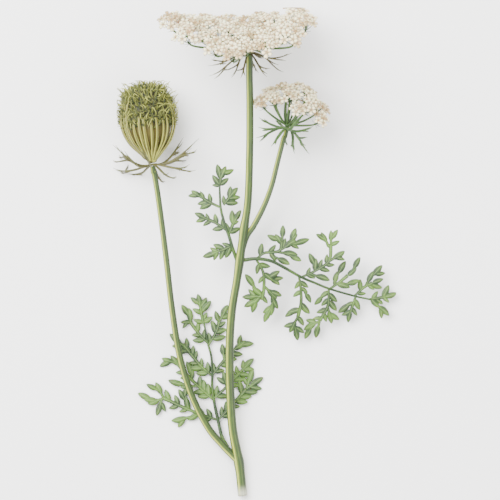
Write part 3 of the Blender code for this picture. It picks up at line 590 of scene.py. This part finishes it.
mainBracts = {
    "at": (248.0, 51.0), "length": 26.0, "width": 0.50, "flat": 0.9, "bow": 0.45, "curl": 0.5,
    "seed": 3,
    "tips": [[(207, 64), (210, 57), (222, 59)], [(208, 74.5), (213, 77.5), (226, 68)],
             [(230, 75), (224, 68)], [(239.5, 77.5), (236, 70)], [(252.5, 66), (258, 70)],
             [(265.5, 76), (269, 68)], [(278, 62.5), (283, 70)], [(285, 60), (291, 51.5)],
             [(262, 54), (270, 49)], [(234, 49), (229, 45)], [(247, 46), (251, 44)]],
}
sideBracts = {
    "at": (288.0, 126.0), "length": 19.5, "width": 0.82, "flat": 0.75, "bow": 0.5, "curl": 0.35,
    "seed": 6,
    "tips": [[(260, 115), (265, 116)], [(259, 125), (263, 129)], [(257, 135.5), (260.5, 139.5)],
             [(272, 144.5), (275, 140)], [(296, 151), (293, 145)], [(310.5, 152), (303, 144)],
             [(307, 143), (309, 134.5)], [(314, 124.5), (309, 129)], [(281, 119), (277, 116)],
             [(298, 118), (303, 115)], [(284, 140), (288, 143)]],
}
headBracts = {
    "at": (153.3, 162.0), "length": 30.0, "width": 0.62, "flat": 0.9, "bow": 0.35, "curl": 0.9,
    "seed": 2,
    "tips": [[(113, 142), (112.5, 157), (119, 152)], [(117, 143), (124, 153)],
             [(113, 165), (120, 168), (128, 161)], [(132, 157), (126, 149)],
             [(136, 172), (129, 171)], [(170, 171), (178, 174)],
             [(184, 134.5), (179, 147), (175, 151)], [(200, 136), (198, 147), (187, 152)],
             [(192, 145), (187, 157)], [(191, 162), (197, 168), (182, 166)],
             [(160, 174), (165, 178)], [(147, 150), (143, 146)]],
}


def makeBracts(head, bracts, name, node, finish):
    # Each bract is a list of tips as places in the picture, of which the first is its own and the
    # others are its forks'. Height of a tip over the head's centre is +-sqrt(length^2 - x^2 - y^2),
    # up and down by turns, so that all bracts have about the same length.
    centre, axis, across, down = headFrame(head)
    rng = np.random.default_rng(bracts["seed"])
    base = centre - axis * 0.85
    skin = Skin()
    steps = 18

    def thread(start, heading, tip, width):
        span = tip - start
        reach = np.linalg.norm(span)
        arrive = unit(span + axis * reach * bracts["curl"] * rng.uniform(0.2, 1.0))
        leave, enter = start + heading * reach * 0.4, tip - arrive * reach * 0.35
        line = cubicLine(start, leave, enter, tip, steps)
        line[:, 2] = np.maximum(line[:, 2], 0.45)
        t = np.linspace(0, 1, steps)
        taper = width * (0.7 + 0.5 * np.sin(np.pi * np.minimum(t * 1.1, 1.0))) * (1 - 0.8 * t**3)
        skin.add(*tubes(line, taper, axis + 0.02 * across, 8, bracts["flat"]))
        return line

    def fork(line, share, tip, width):
        place = int(share * (steps - 1))
        tangent = unit(line[place + 1] - line[place])
        return thread(line[place], tangent, tip, width)

    for k, tips in enumerate(bracts["tips"]):
        sign = 1.0 if k % 2 else -1.0
        offset = (np.array(tips, float) - bracts["at"]) * photoScale * np.array((1.0, -1.0))
        depth = np.sqrt(np.maximum(bracts["length"] ** 2 - np.sum(offset**2, axis=-1), 4.0))
        depth = depth * sign * rng.uniform(0.75, 1.0, len(tips))
        ends = base + np.column_stack([offset, depth])
        outward = unit(ends[0] - base - axis * np.dot(ends[0] - base, axis))
        heading = unit(outward - axis * bracts["bow"] * 0.5)
        lines = [thread(base + outward * 1.3, heading, ends[0], bracts["width"] * 1.1)]
        for j, tip in enumerate(ends[1:]):
            lines.append(fork(lines[0], 0.42 + 0.16 * j, tip, bracts["width"] * 0.9))
        for line in lines:  # a short prong near the end of every thread
            ahead = line[-1] - line[steps // 2]
            turn = rng.choice((-1.0, 1.0)) * rng.uniform(0.35, 0.6)
            prong = line[-6] + ahead * 0.35 + np.cross(ahead, axis) * turn * 0.5
            fork(line, 0.62, prong, bracts["width"] * 0.7)
    plate = centre + axis * np.array((-1.45, -1.35, -0.85, -0.35, -0.25))[:, None]
    skin.add(*tubes(plate, np.array((2.3, 2.6, 2.7, 2.6, 2.3)), down, 20))
    skin.build(name, finish, [node])


# The closed seed head

def outlineRadius(height):
    line = smoothLine(np.array(seedHead["outline"]), 80)
    return np.interp(height, line[:, 0], line[:, 1])


def coreRadius(height):
    # Inside the cage up to where the dome starts, and an ellipse over it.
    start = seedHead["domeStart"]
    inside = np.maximum(outlineRadius(height - 0.8) - 0.9 - seedHead["coreGap"], 0.2)
    side = outlineRadius(start - 0.8) - 0.9 - seedHead["coreGap"]
    share = np.clip((height - start) / (seedHead["top"] - start - 2.0), 0, 1)
    return np.where(height <= start, inside, side * np.sqrt(1 - share**2))


def makeSeedHead(rayMaterial, fruitMaterial, coreMaterial):
    centre, axis, across, down = headFrame(seedHead)
    rng = np.random.default_rng(seedHead["seed"])
    n = seedHead["rays"]
    angle = 2 * np.pi * (np.arange(n) + rng.uniform(-0.18, 0.18, n)) / n
    outward = across * np.cos(angle)[:, None] + down * np.sin(angle)[:, None]
    line = smoothLine(np.array(seedHead["outline"]), 80)
    # rays at the two sides run all the way up, and those between end under the fruits
    t = np.linspace(0, 1, 34)
    ends = np.where(np.abs(np.cos(angle)) > 0.75, 1.0, seedHead["shortRay"])
    ends = ends * rng.uniform(0.94, 1.0, n)
    s = ends[:, None] * t
    height = np.interp(s, np.linspace(0, 1, 80), line[:, 0])
    radius = np.interp(s, np.linspace(0, 1, 80), line[:, 1])
    radius = radius * (1 + rng.uniform(-0.04, 0.02, n)[:, None]) - 0.6 - 1.6 * t**6
    rays = centre + axis * (height[..., None] + 0.8) + outward[:, None] * radius[..., None]
    cage = Skin()
    width = seedHead["rayRadius"] * (1.35 - 0.65 * s)
    cage.add(*tubes(rays, width, outward[:, None], 10, seedHead["flat"], 3, 0.18))
    profile = np.array([(0.05, 1.2), (0.5, 2.4), (1.3, 3.0), (2.1, 2.5), (2.6, 1.2)])
    cage.add(*tubes(centre + axis * profile[:, :1], profile[:, 1], down, 18))
    cage.build("seedHeadRays", rayMaterial, ["seed_head_rays"])

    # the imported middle: the core's profile turned round the axis
    inside = Skin()
    height = np.linspace(7.5, seedHead["top"] - 2.1, 30)
    inside.add(*tubes(centre + axis * height[:, None], coreRadius(height), down, 40))
    inside.build("seedHeadInside", coreMaterial, ["seed_head_fruits"])

    # fruits: ribbed seeds with bristles, thick over the top and thinning out down the sides
    k = np.arange(seedHead["fruits"])
    share = (k + 0.5) / len(k)
    height = seedHead["top"] - 2.4 - 24.5 * share**1.05
    angle = k * goldenAngle
    outward = across * np.cos(angle)[:, None] + down * np.sin(angle)[:, None]
    radius = coreRadius(height) * rng.uniform(0.96, 1.14, len(k))
    spot = centre + axis * height[:, None] + outward * radius[:, None]
    steep = 1.0 + 1.2 * (1 - share[:, None]) ** 1.5
    shake = rng.normal(0, 0.38, spot.shape)
    look = unit(axis * steep + outward * (radius[:, None] / 16.0) + shake)
    length = rng.uniform(*seedHead["fruitLength"], len(k))
    t = np.linspace(0, 1, 7)[:, None]
    seeds = spot[:, None] + look[:, None] * length[:, None, None] * t
    seeds = seeds + (axis * 0.5 * t**2)
    swell = np.sin(np.pi * np.clip(t[:, 0] * 0.9 + 0.06, 0, 1)) ** 0.8
    body = seedHead["fruitRadius"] * swell
    # lines of fruits, bristles and curls that leave their node's box are pressed back into it
    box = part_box("seed_head_fruits")
    low, high = np.array(box[0]) / mm, np.array(box[1]) / mm
    fruits = Skin()
    seeds = np.clip(seeds, low + 0.8, high - 0.8)
    grid, marks = tubes(seeds, body, outward[:, None], 8, 0.8, 4, 0.25)
    tint = np.broadcast_to(rng.uniform(0, 1, len(k))[:, None, None], grid.shape[:-1])
    marks = np.stack([np.broadcast_to(marks[..., 0], grid.shape[:-1]) * 0.55, tint], axis=-1)
    fruits.add(grid, marks)
    m = seedHead["bristles"]
    local = frames(look, outward)
    ring = rng.uniform(0, 2 * np.pi, (len(k), m))
    splay = rng.uniform(0.5, 1.3, (len(k), m))
    way = np.stack([np.cos(ring) * splay, np.sin(ring) * splay, 0.5 + 0 * ring], axis=-1)
    way = unit(np.einsum("kij,kmj->kmi", local, way))
    root = rng.uniform(0.25, 0.9, (len(k), m, 1))
    base = spot[:, None] + look[:, None] * length[:, None, None] * root
    q = np.linspace(0, 1, 4)[:, None]
    spikes = base[:, :, None] + way[:, :, None] * (0.3 + q * seedHead["bristleLength"])
    spikes = spikes + axis * 0.35 * q**2
    spikes = np.clip(spikes, low + 0.15, high - 0.15)
    thick = seedHead["bristleRadius"] * (1.0 - 0.75 * q[:, 0])
    grid, marks = tubes(spikes, thick, axis + 0.3 * across, 4)
    tint = np.broadcast_to(rng.uniform(0.3, 1, (len(k), m))[:, :, None, None], grid.shape[:-1])
    marks = np.stack([0.4 + 0.6 * np.broadcast_to(marks[..., 0], grid.shape[:-1]), tint], axis=-1)
    fruits.add(grid, marks)
    # curls: bracteoles whose heading turns along them, as (share of their length)^1.3
    n = seedHead["curls"]
    share = (np.arange(n) + 0.5) / n
    angle = np.arange(n) * goldenAngle + 0.7
    height = seedHead["curlTop"] - seedHead["curlFall"] * share**1.1
    outward = across * np.cos(angle)[:, None] + down * np.sin(angle)[:, None]
    base = centre + axis * height[:, None] + outward * (coreRadius(height)[:, None] * 0.97 + 0.6)
    aim = unit(axis * 1.2 + outward * 0.3 + rng.normal(0, 0.6, outward.shape))
    over = unit(outward * 0.6 + rng.normal(0, 0.8, outward.shape))
    turn = rng.uniform(0.8, 4.6, n)[:, None] * np.linspace(0, 1, 13) ** 1.3
    step = (rng.uniform(*seedHead["curlLength"], n) / 12)[:, None, None]
    heading = aim[:, None] * np.cos(turn)[..., None] + over[:, None] * np.sin(turn)[..., None]
    curls = np.clip(base[:, None] + np.cumsum(heading, axis=1) * step, low + 0.3, high - 0.3)
    taper = seedHead["curlRadius"] - 0.24 * np.linspace(0, 1, 13) ** 2
    grid, marks = tubes(curls, taper, outward[:, None] + 0.1 * axis, 5)
    tint = np.broadcast_to(rng.uniform(0.5, 1, n)[:, None, None], grid.shape[:-1])
    marks = np.stack([0.5 + 0.5 * np.broadcast_to(marks[..., 0], grid.shape[:-1]), tint], axis=-1)
    fruits.add(grid, marks)
    fruits.build("seedHeadFruits", fruitMaterial, ["seed_head_fruits"])


# Leaves: ribs and lobe tips as places in the picture, heights in mm

rightLeaf = {
    "rachis": [(238.8, 261, 20.8), (245, 260, 21.8), (256, 258.7, 22.6), (271, 261, 22.4),
               (285, 268, 20.6), (301, 277, 17.6), (315, 283, 15.2), (330, 289, 12.4),
               (354, 296, 8.4), (372, 300, 6.0)],
    "radii": (1.25, 0.55), "lobe": 6.2, "longLobe": 9.0, "lobeWidth": 0.235,
    "pinnae": [
        {"rib": [(257, 258.5), (264.5, 253), (279, 251), (282, 242)], "z": 22.4, "drop": 1.0,
         "tips": [(267, 235), (275, 234), (283, 225), (296, 228), (297.5, 234), (296, 240),
                  (309.6, 239), (298, 255), (301.5, 261), (290, 264.5), (276.5, 261),
                  (262, 243)]},
        {"rib": [(256, 259), (263, 272), (264, 287), (262, 300)], "z": 22.2, "drop": 9.5,
         "tips": [(245, 274), (252, 287), (280, 271), (273, 281), (242, 297), (244, 307),
                  (251, 305), (256, 298), (280, 285), (282, 296), (277, 299), (252, 313),
                  (264, 322.5), (271, 316), (278, 309)]},
        {"rib": [(302, 277), (315, 271), (329, 261), (331, 245)], "z": 17.2, "drop": 0.0,
         "tips": [(309, 253), (316, 234), (326, 243), (321, 232), (331, 230), (338, 229.5),
                  (345, 251), (345, 260), (335, 265), (330, 280.5), (316, 258), (340, 241)]},
        {"rib": [(299, 276), (301, 290), (301, 304), (298, 317)], "z": 17.8, "drop": 11.0,
         "tips": [(293, 297), (311, 303), (287, 313), (310, 314), (285, 317), (289.5, 333),
                  (298, 341), (308, 293), (304, 326)]},
        {"rib": [(330, 289), (340, 282), (348, 275.5)], "z": 12.2, "drop": 1.0,
         "tips": [(338, 271), (346, 261), (360.5, 257), (360, 280), (350.5, 287.5), (357, 268),
                  (335, 278)]},
        {"rib": [(329, 289), (328, 306), (320, 321)], "z": 12.4, "drop": 7.5,
         "tips": [(314.5, 305), (337, 311), (313, 319), (332, 324), (304, 330.5), (305, 339.5),
                  (316, 338.6), (320, 298)]},
        {"rib": [(355, 296), (365, 287), (373, 283)], "z": 8.2, "drop": 0.8,
         "tips": [(360.5, 279), (374, 271), (383, 265), (384, 279), (375, 290)]},
        {"rib": [(356, 297), (353, 306), (351, 312)], "z": 8.2, "drop": 3.0,
         "tips": [(345, 306), (338.5, 313), (348.5, 323), (357.6, 316)]},
        {"rib": [(370, 299.5), (380, 298), (386, 297)], "z": 6.2, "drop": 1.5,
         "tips": [(389.5, 285), (398, 293), (390, 303), (390, 316), (380, 308)]},
    ],
}
upperLeaf = {
    "rachis": [(238.5, 264.7, 20.8), (233, 249.5, 22.6), (229, 236, 22.8), (225, 225, 22.4),
               (221, 210, 21.4), (220, 198, 20.4), (219.5, 184, 19.2)],
    "radii": (1.15, 0.6), "lobe": 6.6, "longLobe": 9.4, "lobeWidth": 0.24,
    "pinnae": [
        {"rib": [(219.5, 186), (220.5, 179)], "z": 19.4, "drop": 1.2,
         "tips": [(217, 164), (226, 166), (234, 169.5), (212, 185)]},
        {"rib": [(223.5, 205), (229, 198)], "z": 20.9, "drop": 1.5,
         "tips": [(230.5, 186), (238, 187.5), (238.5, 203)]},
        {"rib": [(219.5, 207), (209, 202), (204, 199)], "z": 21.1, "drop": 3.4,
         "tips": [(200, 191), (188, 196), (191, 190.5), (199.5, 209), (209, 193)]},
        {"rib": [(226, 230), (216, 223), (209, 220)], "z": 22.5, "drop": 3.5,
         "tips": [(194.5, 213), (206, 213), (203, 226)]},
        {"rib": [(229, 234), (233, 224)], "z": 22.6, "drop": 1.0,
         "tips": [(232, 210), (241, 210), (239, 221)]},
        {"rib": [(231.5, 246), (222, 250)], "z": 22.6, "drop": 3.0, "tips": [(202.6, 257)]},
    ],
}
lowerLeaf = {
    "rachis": [(227.5, 448, 4.3), (221.5, 437, 3.4), (217.8, 421, 2.7), (214.5, 406, 2.4),
               (212, 388, 2.3), (212, 373, 2.3), (211, 357, 2.3), (207.6, 344, 2.3),
               (204.8, 329, 2.4), (201.5, 313, 2.4)],
    "radii": (1.1, 0.55), "lobe": 6.6, "longLobe": 9.4, "lobeWidth": 0.24,
    "pinnae": [
        {"rib": [(203, 324), (200.5, 311)], "z": 2.5, "drop": 0.5,
         "tips": [(197.4, 294), (211, 301), (192, 309), (212.6, 317), (193, 320)]},
        {"rib": [(207, 343), (196, 331), (190, 322)], "z": 2.4, "drop": 0.6,
         "tips": [(181, 305), (188.5, 308), (180, 322.6), (182, 329), (192, 341)]},
        {"rib": [(208, 346), (216, 332), (219, 322)], "z": 2.4, "drop": 0.6,
         "tips": [(215, 311), (228, 305), (226, 322), (226, 337)]},
        {"rib": [(211, 376), (200, 366), (190, 354)], "z": 2.4, "drop": 0.8,
         "tips": [(181, 343.6), (186, 338), (197, 351), (188, 369), (169, 334), (175, 352)]},
        {"rib": [(212, 376), (222, 363), (234, 350)], "z": 2.4, "drop": 0.8,
         "tips": [(222, 344), (241, 335), (246, 341), (254, 344), (243, 355), (232, 366)]},
        {"rib": [(212.5, 400), (198, 387), (181, 370)], "z": 2.5, "drop": 0.9,
         "tips": [(161, 359), (170, 356), (167.5, 381), (192.5, 370), (180, 388), (186, 362)]},
        {"rib": [(213, 400), (226, 388), (240, 373)], "z": 2.5, "drop": 0.9,
         "tips": [(223, 372), (254, 359), (250, 376), (240, 386), (236, 366)]},
        {"rib": [(217.5, 421), (192, 412), (163, 399)], "z": 2.7, "drop": 1.0,
         "tips": [(137, 394), (145.6, 385), (155, 383), (147, 405), (156, 417), (170.6, 422),
                  (178, 390), (187, 421), (185, 397), (143, 400)]},
        {"rib": [(218, 421), (232, 406), (246, 390)], "z": 2.7, "drop": 1.0,
         "tips": [(239, 381), (253, 369), (263.5, 378), (258, 393), (248, 403), (230, 395)]},
    ],
}


def onTable(x, y):
    return (x - 249.5) * photoScale + plantShift[0], (250 - y) * photoScale + plantShift[1]


leafForm = {"lobeWidths": (1.15, 1.95), "lobeThick": 0.30, "lobeArch": 0.035, "bend": 0.04,
            "fold": 0.28, "ribWing": (0.72, 1.15), "sideWing": (0.75, 1.0), "lowest": 0.45}


def lobePoints(starts, ends, halfWidths, arch, rng):
    # A blade. Along s, out from the line by w cos t + bend sin(pi s), and up by thick(s) sin t
    # + arch sin(pi s) - fold w |cos t|, where w = 0.2 sqrt(1 - s) + sin(pi s^p)^0.62 (1 - 0.3 s),
    # and p grows with the length, so that a long lobe has a narrow foot.
    s = np.linspace(0.0, 1.0, 13)[:, None]
    t = np.linspace(0, 2 * np.pi, 10, endpoint=False)[None, :]
    along = ends - starts
    length = np.linalg.norm(along, axis=-1)[:, None, None]
    side = unit(np.stack([along[:, 1], -along[:, 0], 0 * along[:, 0]], axis=-1))
    bend = rng.uniform(-leafForm["bend"], leafForm["bend"], length.shape) * length
    power = np.clip(0.85 + (length - 6.0) * 0.08, 0.85, 1.6)
    width = 0.2 * (1 - s) ** 0.5 + np.sin(np.pi * s**power) ** 0.62 * (1.0 - 0.3 * s)
    width = width * halfWidths[:, None, None]
    line = starts[:, None, None] + along[:, None, None] * s[None, ..., None]
    out = width * np.cos(t) + bend * np.sin(np.pi * s)[None]
    thick = leafForm["lobeThick"] * np.sin(np.pi * np.clip(s * 0.94 + 0.03, 0, 1)) ** 0.5
    rise = (thick * np.sin(t))[None] + arch[:, None, None] * np.sin(np.pi * s)[None]
    rise = rise - leafForm["fold"] * np.abs(np.cos(t)) * width
    grid = line + side[:, None, None] * out[..., None] + np.array((0, 0, 1.0)) * rise[..., None]
    marks = np.stack([np.broadcast_to(0.15 + 0.85 * s, grid.shape[:-1]),
                      np.broadcast_to(np.cos(t), grid.shape[:-1])], axis=-1)
    return grid, marks


def wing(line, first, last):
    # A rib with a narrow blade on both sides, marked like a lobe: pale along its middle.
    radii = first + (last - first) * np.linspace(0, 1, len(line))
    grid, marks = tubes(line, radii, (0.0, 0.0, 1.0), 10, 0.42)
    return grid, np.stack([0.1 + 0.5 * marks[..., 0], np.cos(2 * np.pi * marks[..., 1])], axis=-1)


def hangLobes(rib, tips):
    # The nearest tip comes first. Each lobe leaves the place on the rib, or on the lower half of
    # an earlier lobe, where reach (1 + 1.6 (1 - cos turn)) is least.
    places, headings = [rib[3:]], [unit(np.gradient(rib, axis=0))[3:]]
    gaps = np.min(np.linalg.norm(rib[None] - tips[:, None], axis=-1), axis=1)
    share = np.linspace(0.10, 0.42, 9)[:, None]
    roots, ends = [], []
    for tip in tips[np.argsort(gaps)]:
        place, heading = np.concatenate(places), np.concatenate(headings)
        span = tip - place
        reach = np.linalg.norm(span, axis=-1)
        turn = np.sum(span * heading, axis=-1) / reach
        root = place[np.argmin(reach * (1 + 1.6 * (1 - turn)))]
        roots.append(root)
        ends.append(tip)
        places.append(root + (tip - root) * share)
        headings.append(np.broadcast_to(unit(tip - root), (len(share), 3)))
    return np.array(roots), np.array(ends)


def fillLobes(rib, roots, ends, reach, rng):
    # Where a rib is bare, short lobes stand off it on both sides, clear of the lobes there.
    heading = unit(np.gradient(rib, axis=0))
    side = unit(np.cross(heading, (0.0, 0.0, 1.0)))
    share = np.linspace(0.3, 1, 6)[:, None]
    taken = (roots[:, None] + (ends - roots)[:, None] * share).reshape(-1, 3)
    for place in range(5, len(rib) - 2, max(5, len(rib) // 6)):
        for way in (1.0, -1.0):
            out = (heading[place] * 0.72 + side[place] * way * 0.7) * reach * rng.uniform(0.8, 1.2)
            tip = rib[place] + out
            tip[2] = max(tip[2] - 0.6, leafForm["lowest"])
            check = rib[place] + out * np.array((0.55, 1.0))[:, None]
            gap = np.linalg.norm(taken[None] - check[:, None], axis=-1).min()
            if gap > 2.5:
                roots, ends = np.vstack([roots, rib[place]]), np.vstack([ends, tip])
                taken = np.vstack([taken, check])
    return roots, ends


def makeLeaf(leaf, name, node, finish, seed):
    rng = np.random.default_rng(seed)
    skin = Skin()
    rachis = np.array(leaf["rachis"], float)
    rachis[:, 0], rachis[:, 1] = onTable(rachis[:, 0], rachis[:, 1])
    line = smoothLine(rachis, 60)
    first, last = leaf["radii"]
    radii = first + (last - first) * np.linspace(0, 1, 60)
    skin.add(tubes(line, radii, (0.0, 0.0, 1.0), 12, 0.9, 4, 0.12)[0], np.array((0.0, 0.85)))
    starts, ends = [], []
    for pinna in leaf["pinnae"]:
        rib = np.array([(*onTable(x, y), 0.0) for x, y in pinna["rib"]])
        tips = np.array([(*onTable(x, y), 0.0) for x, y in pinna["tips"]])
        far = np.max(np.linalg.norm(tips - rib[0], axis=-1))

        def height(points):
            away = np.linalg.norm(points[:, :2] - rib[0, :2], axis=-1) / far
            return np.maximum(pinna["z"] - pinna["drop"] * away**1.3, 0.75)

        rib[:, 2] = height(rib)
        shake = rng.uniform(-0.5, 0.5, len(tips))
        tips[:, 2] = np.maximum(height(tips) + shake, leafForm["lowest"])
        ribLine = smoothLine(rib, 40)
        skin.add(*wing(ribLine, *leafForm["ribWing"]))
        roots, tips = hangLobes(ribLine, tips)
        lines = [ribLine]
        # a long lobe is a side rib of its own, and only its outer part is a blade
        for k in np.flatnonzero(np.linalg.norm(tips - roots, axis=-1) > leaf["longLobe"]):
            line = roots[k] + (tips[k] - roots[k]) * np.linspace(0, 0.62, 16)[:, None]
            skin.add(*wing(line, *leafForm["sideWing"]))
            roots[k] = roots[k] * 0.72 + tips[k] * 0.28
            lines.append(line)
        for line in lines:
            roots, tips = fillLobes(line, roots, tips, leaf["lobe"], rng)
        starts.append(roots)
        ends.append(tips)
    starts, ends = np.concatenate(starts), np.concatenate(ends)
    length = np.linalg.norm(ends - starts, axis=-1)
    width = np.clip(length * leaf["lobeWidth"], *leafForm["lobeWidths"])
    skin.add(*lobePoints(starts, ends, width, length * leafForm["lobeArch"], rng))
    skin.build(name, finish, [node])


# Make everything

greenRay = rayFinish("rayGreen", (0.018, 0.05, 0.009), (0.06, 0.12, 0.022), (0.09, 0.16, 0.03))
oliveRay = rayFinish("headRayOlive", (0.07, 0.062, 0.004), (0.36, 0.36, 0.06),
                     (0.15, 0.145, 0.018))
brownBract = rayFinish("bractOlive", (0.045, 0.032, 0.008), (0.09, 0.075, 0.016),
                       (0.12, 0.13, 0.025))
greenBract = rayFinish("bractGreen", (0.022, 0.06, 0.010), (0.06, 0.125, 0.025),
                       (0.09, 0.17, 0.035))
headBract = rayFinish("bractYellow", (0.05, 0.045, 0.009), (0.11, 0.105, 0.022),
                      (0.09, 0.11, 0.024))
petalCream = petalFinish()
leafGreen = leafFinish()

makeStem()
makeUmbel(mainUmbel, "mainUmbel", "main_umbel", greenRay, petalCream)
makeUmbel(sideUmbel, "sideUmbel", "side_umbel", greenRay, petalCream)
makeBracts(mainUmbel, mainBracts, "mainUmbelBracts", "main_umbel_bracts", brownBract)
makeBracts(sideUmbel, sideBracts, "sideUmbelBracts", "side_umbel_bracts", greenBract)
makeBracts(seedHead, headBracts, "seedHeadBracts", "seed_head_bracts", headBract)
makeSeedHead(oliveRay, fruitFinish(), coreFinish())
makeLeaf(rightLeaf, "rightLeaf", "leaf_right", leafGreen, 11)
makeLeaf(upperLeaf, "upperLeaf", "leaf_upper_left", leafGreen, 23)
makeLeaf(lowerLeaf, "lowerLeaf", "leaf_lower", leafGreen, 37)


# Table, light and camera

stage = {"floor": (0.94, 0.938, 0.93), "key": 150.0, "fill": 30.0, "sky": 1.6, "height": 3.0,
         "tableHalf": 6.0, "sensor": 36.0, "pictureWidth": 500, "cameraShift": 0.3}


def makeStage():
    mesh = bpy.data.meshes.new("table")
    half = stage["tableHalf"]
    corners = [(-half, -half, 0), (half, -half, 0), (half, half, 0), (-half, half, 0)]
    mesh.from_pydata(corners, [], [(0, 1, 2, 3)])
    table = bpy.data.objects.new("table", mesh)
    bpy.context.scene.collection.objects.link(table)
    paper = Finish("tablePale", 0.9)
    paper.colour(stage["floor"])
    mesh.materials.append(paper.material)
    for name, power, place, size in (("keyLight", stage["key"], (-0.9, 0.8, 1.6), 1.6),
                                     ("fillLight", stage["fill"], (1.2, -0.5, 1.4), 2.0)):
        light = bpy.data.lights.new(name, "AREA")
        light.energy = power
        light.size = size
        lamp = bpy.data.objects.new(name, light)
        lamp.location = place
        aim = -np.array(place)
        lamp.rotation_euler = (math.acos(-aim[2] / np.linalg.norm(aim)), 0,
                               math.atan2(aim[1], aim[0]) - math.pi / 2)
        bpy.context.scene.collection.objects.link(lamp)
    world = bpy.data.worlds.new("studio")
    world.use_nodes = True
    background = world.node_tree.nodes["Background"]
    background.inputs["Color"].default_value = (1.0, 1.0, 1.0, 1.0)
    background.inputs["Strength"].default_value = stage["sky"]
    bpy.context.scene.world = world
    lens = bpy.data.cameras.new("camera")
    lens.sensor_width = stage["sensor"]
    view = stage["pictureWidth"] * photoScale * mm  # what the picture shows across, 20 mm up
    lens.lens = stage["sensor"] * (stage["height"] - 0.02) / view
    lens.clip_end = 20.0
    camera = bpy.data.objects.new("camera", lens)
    x, y, z = plantShift * mm
    camera.location = (x + stage["cameraShift"] * mm, y, stage["height"])
    bpy.context.scene.collection.objects.link(camera)
    bpy.context.scene.camera = camera
    print("stage set")


makeStage()
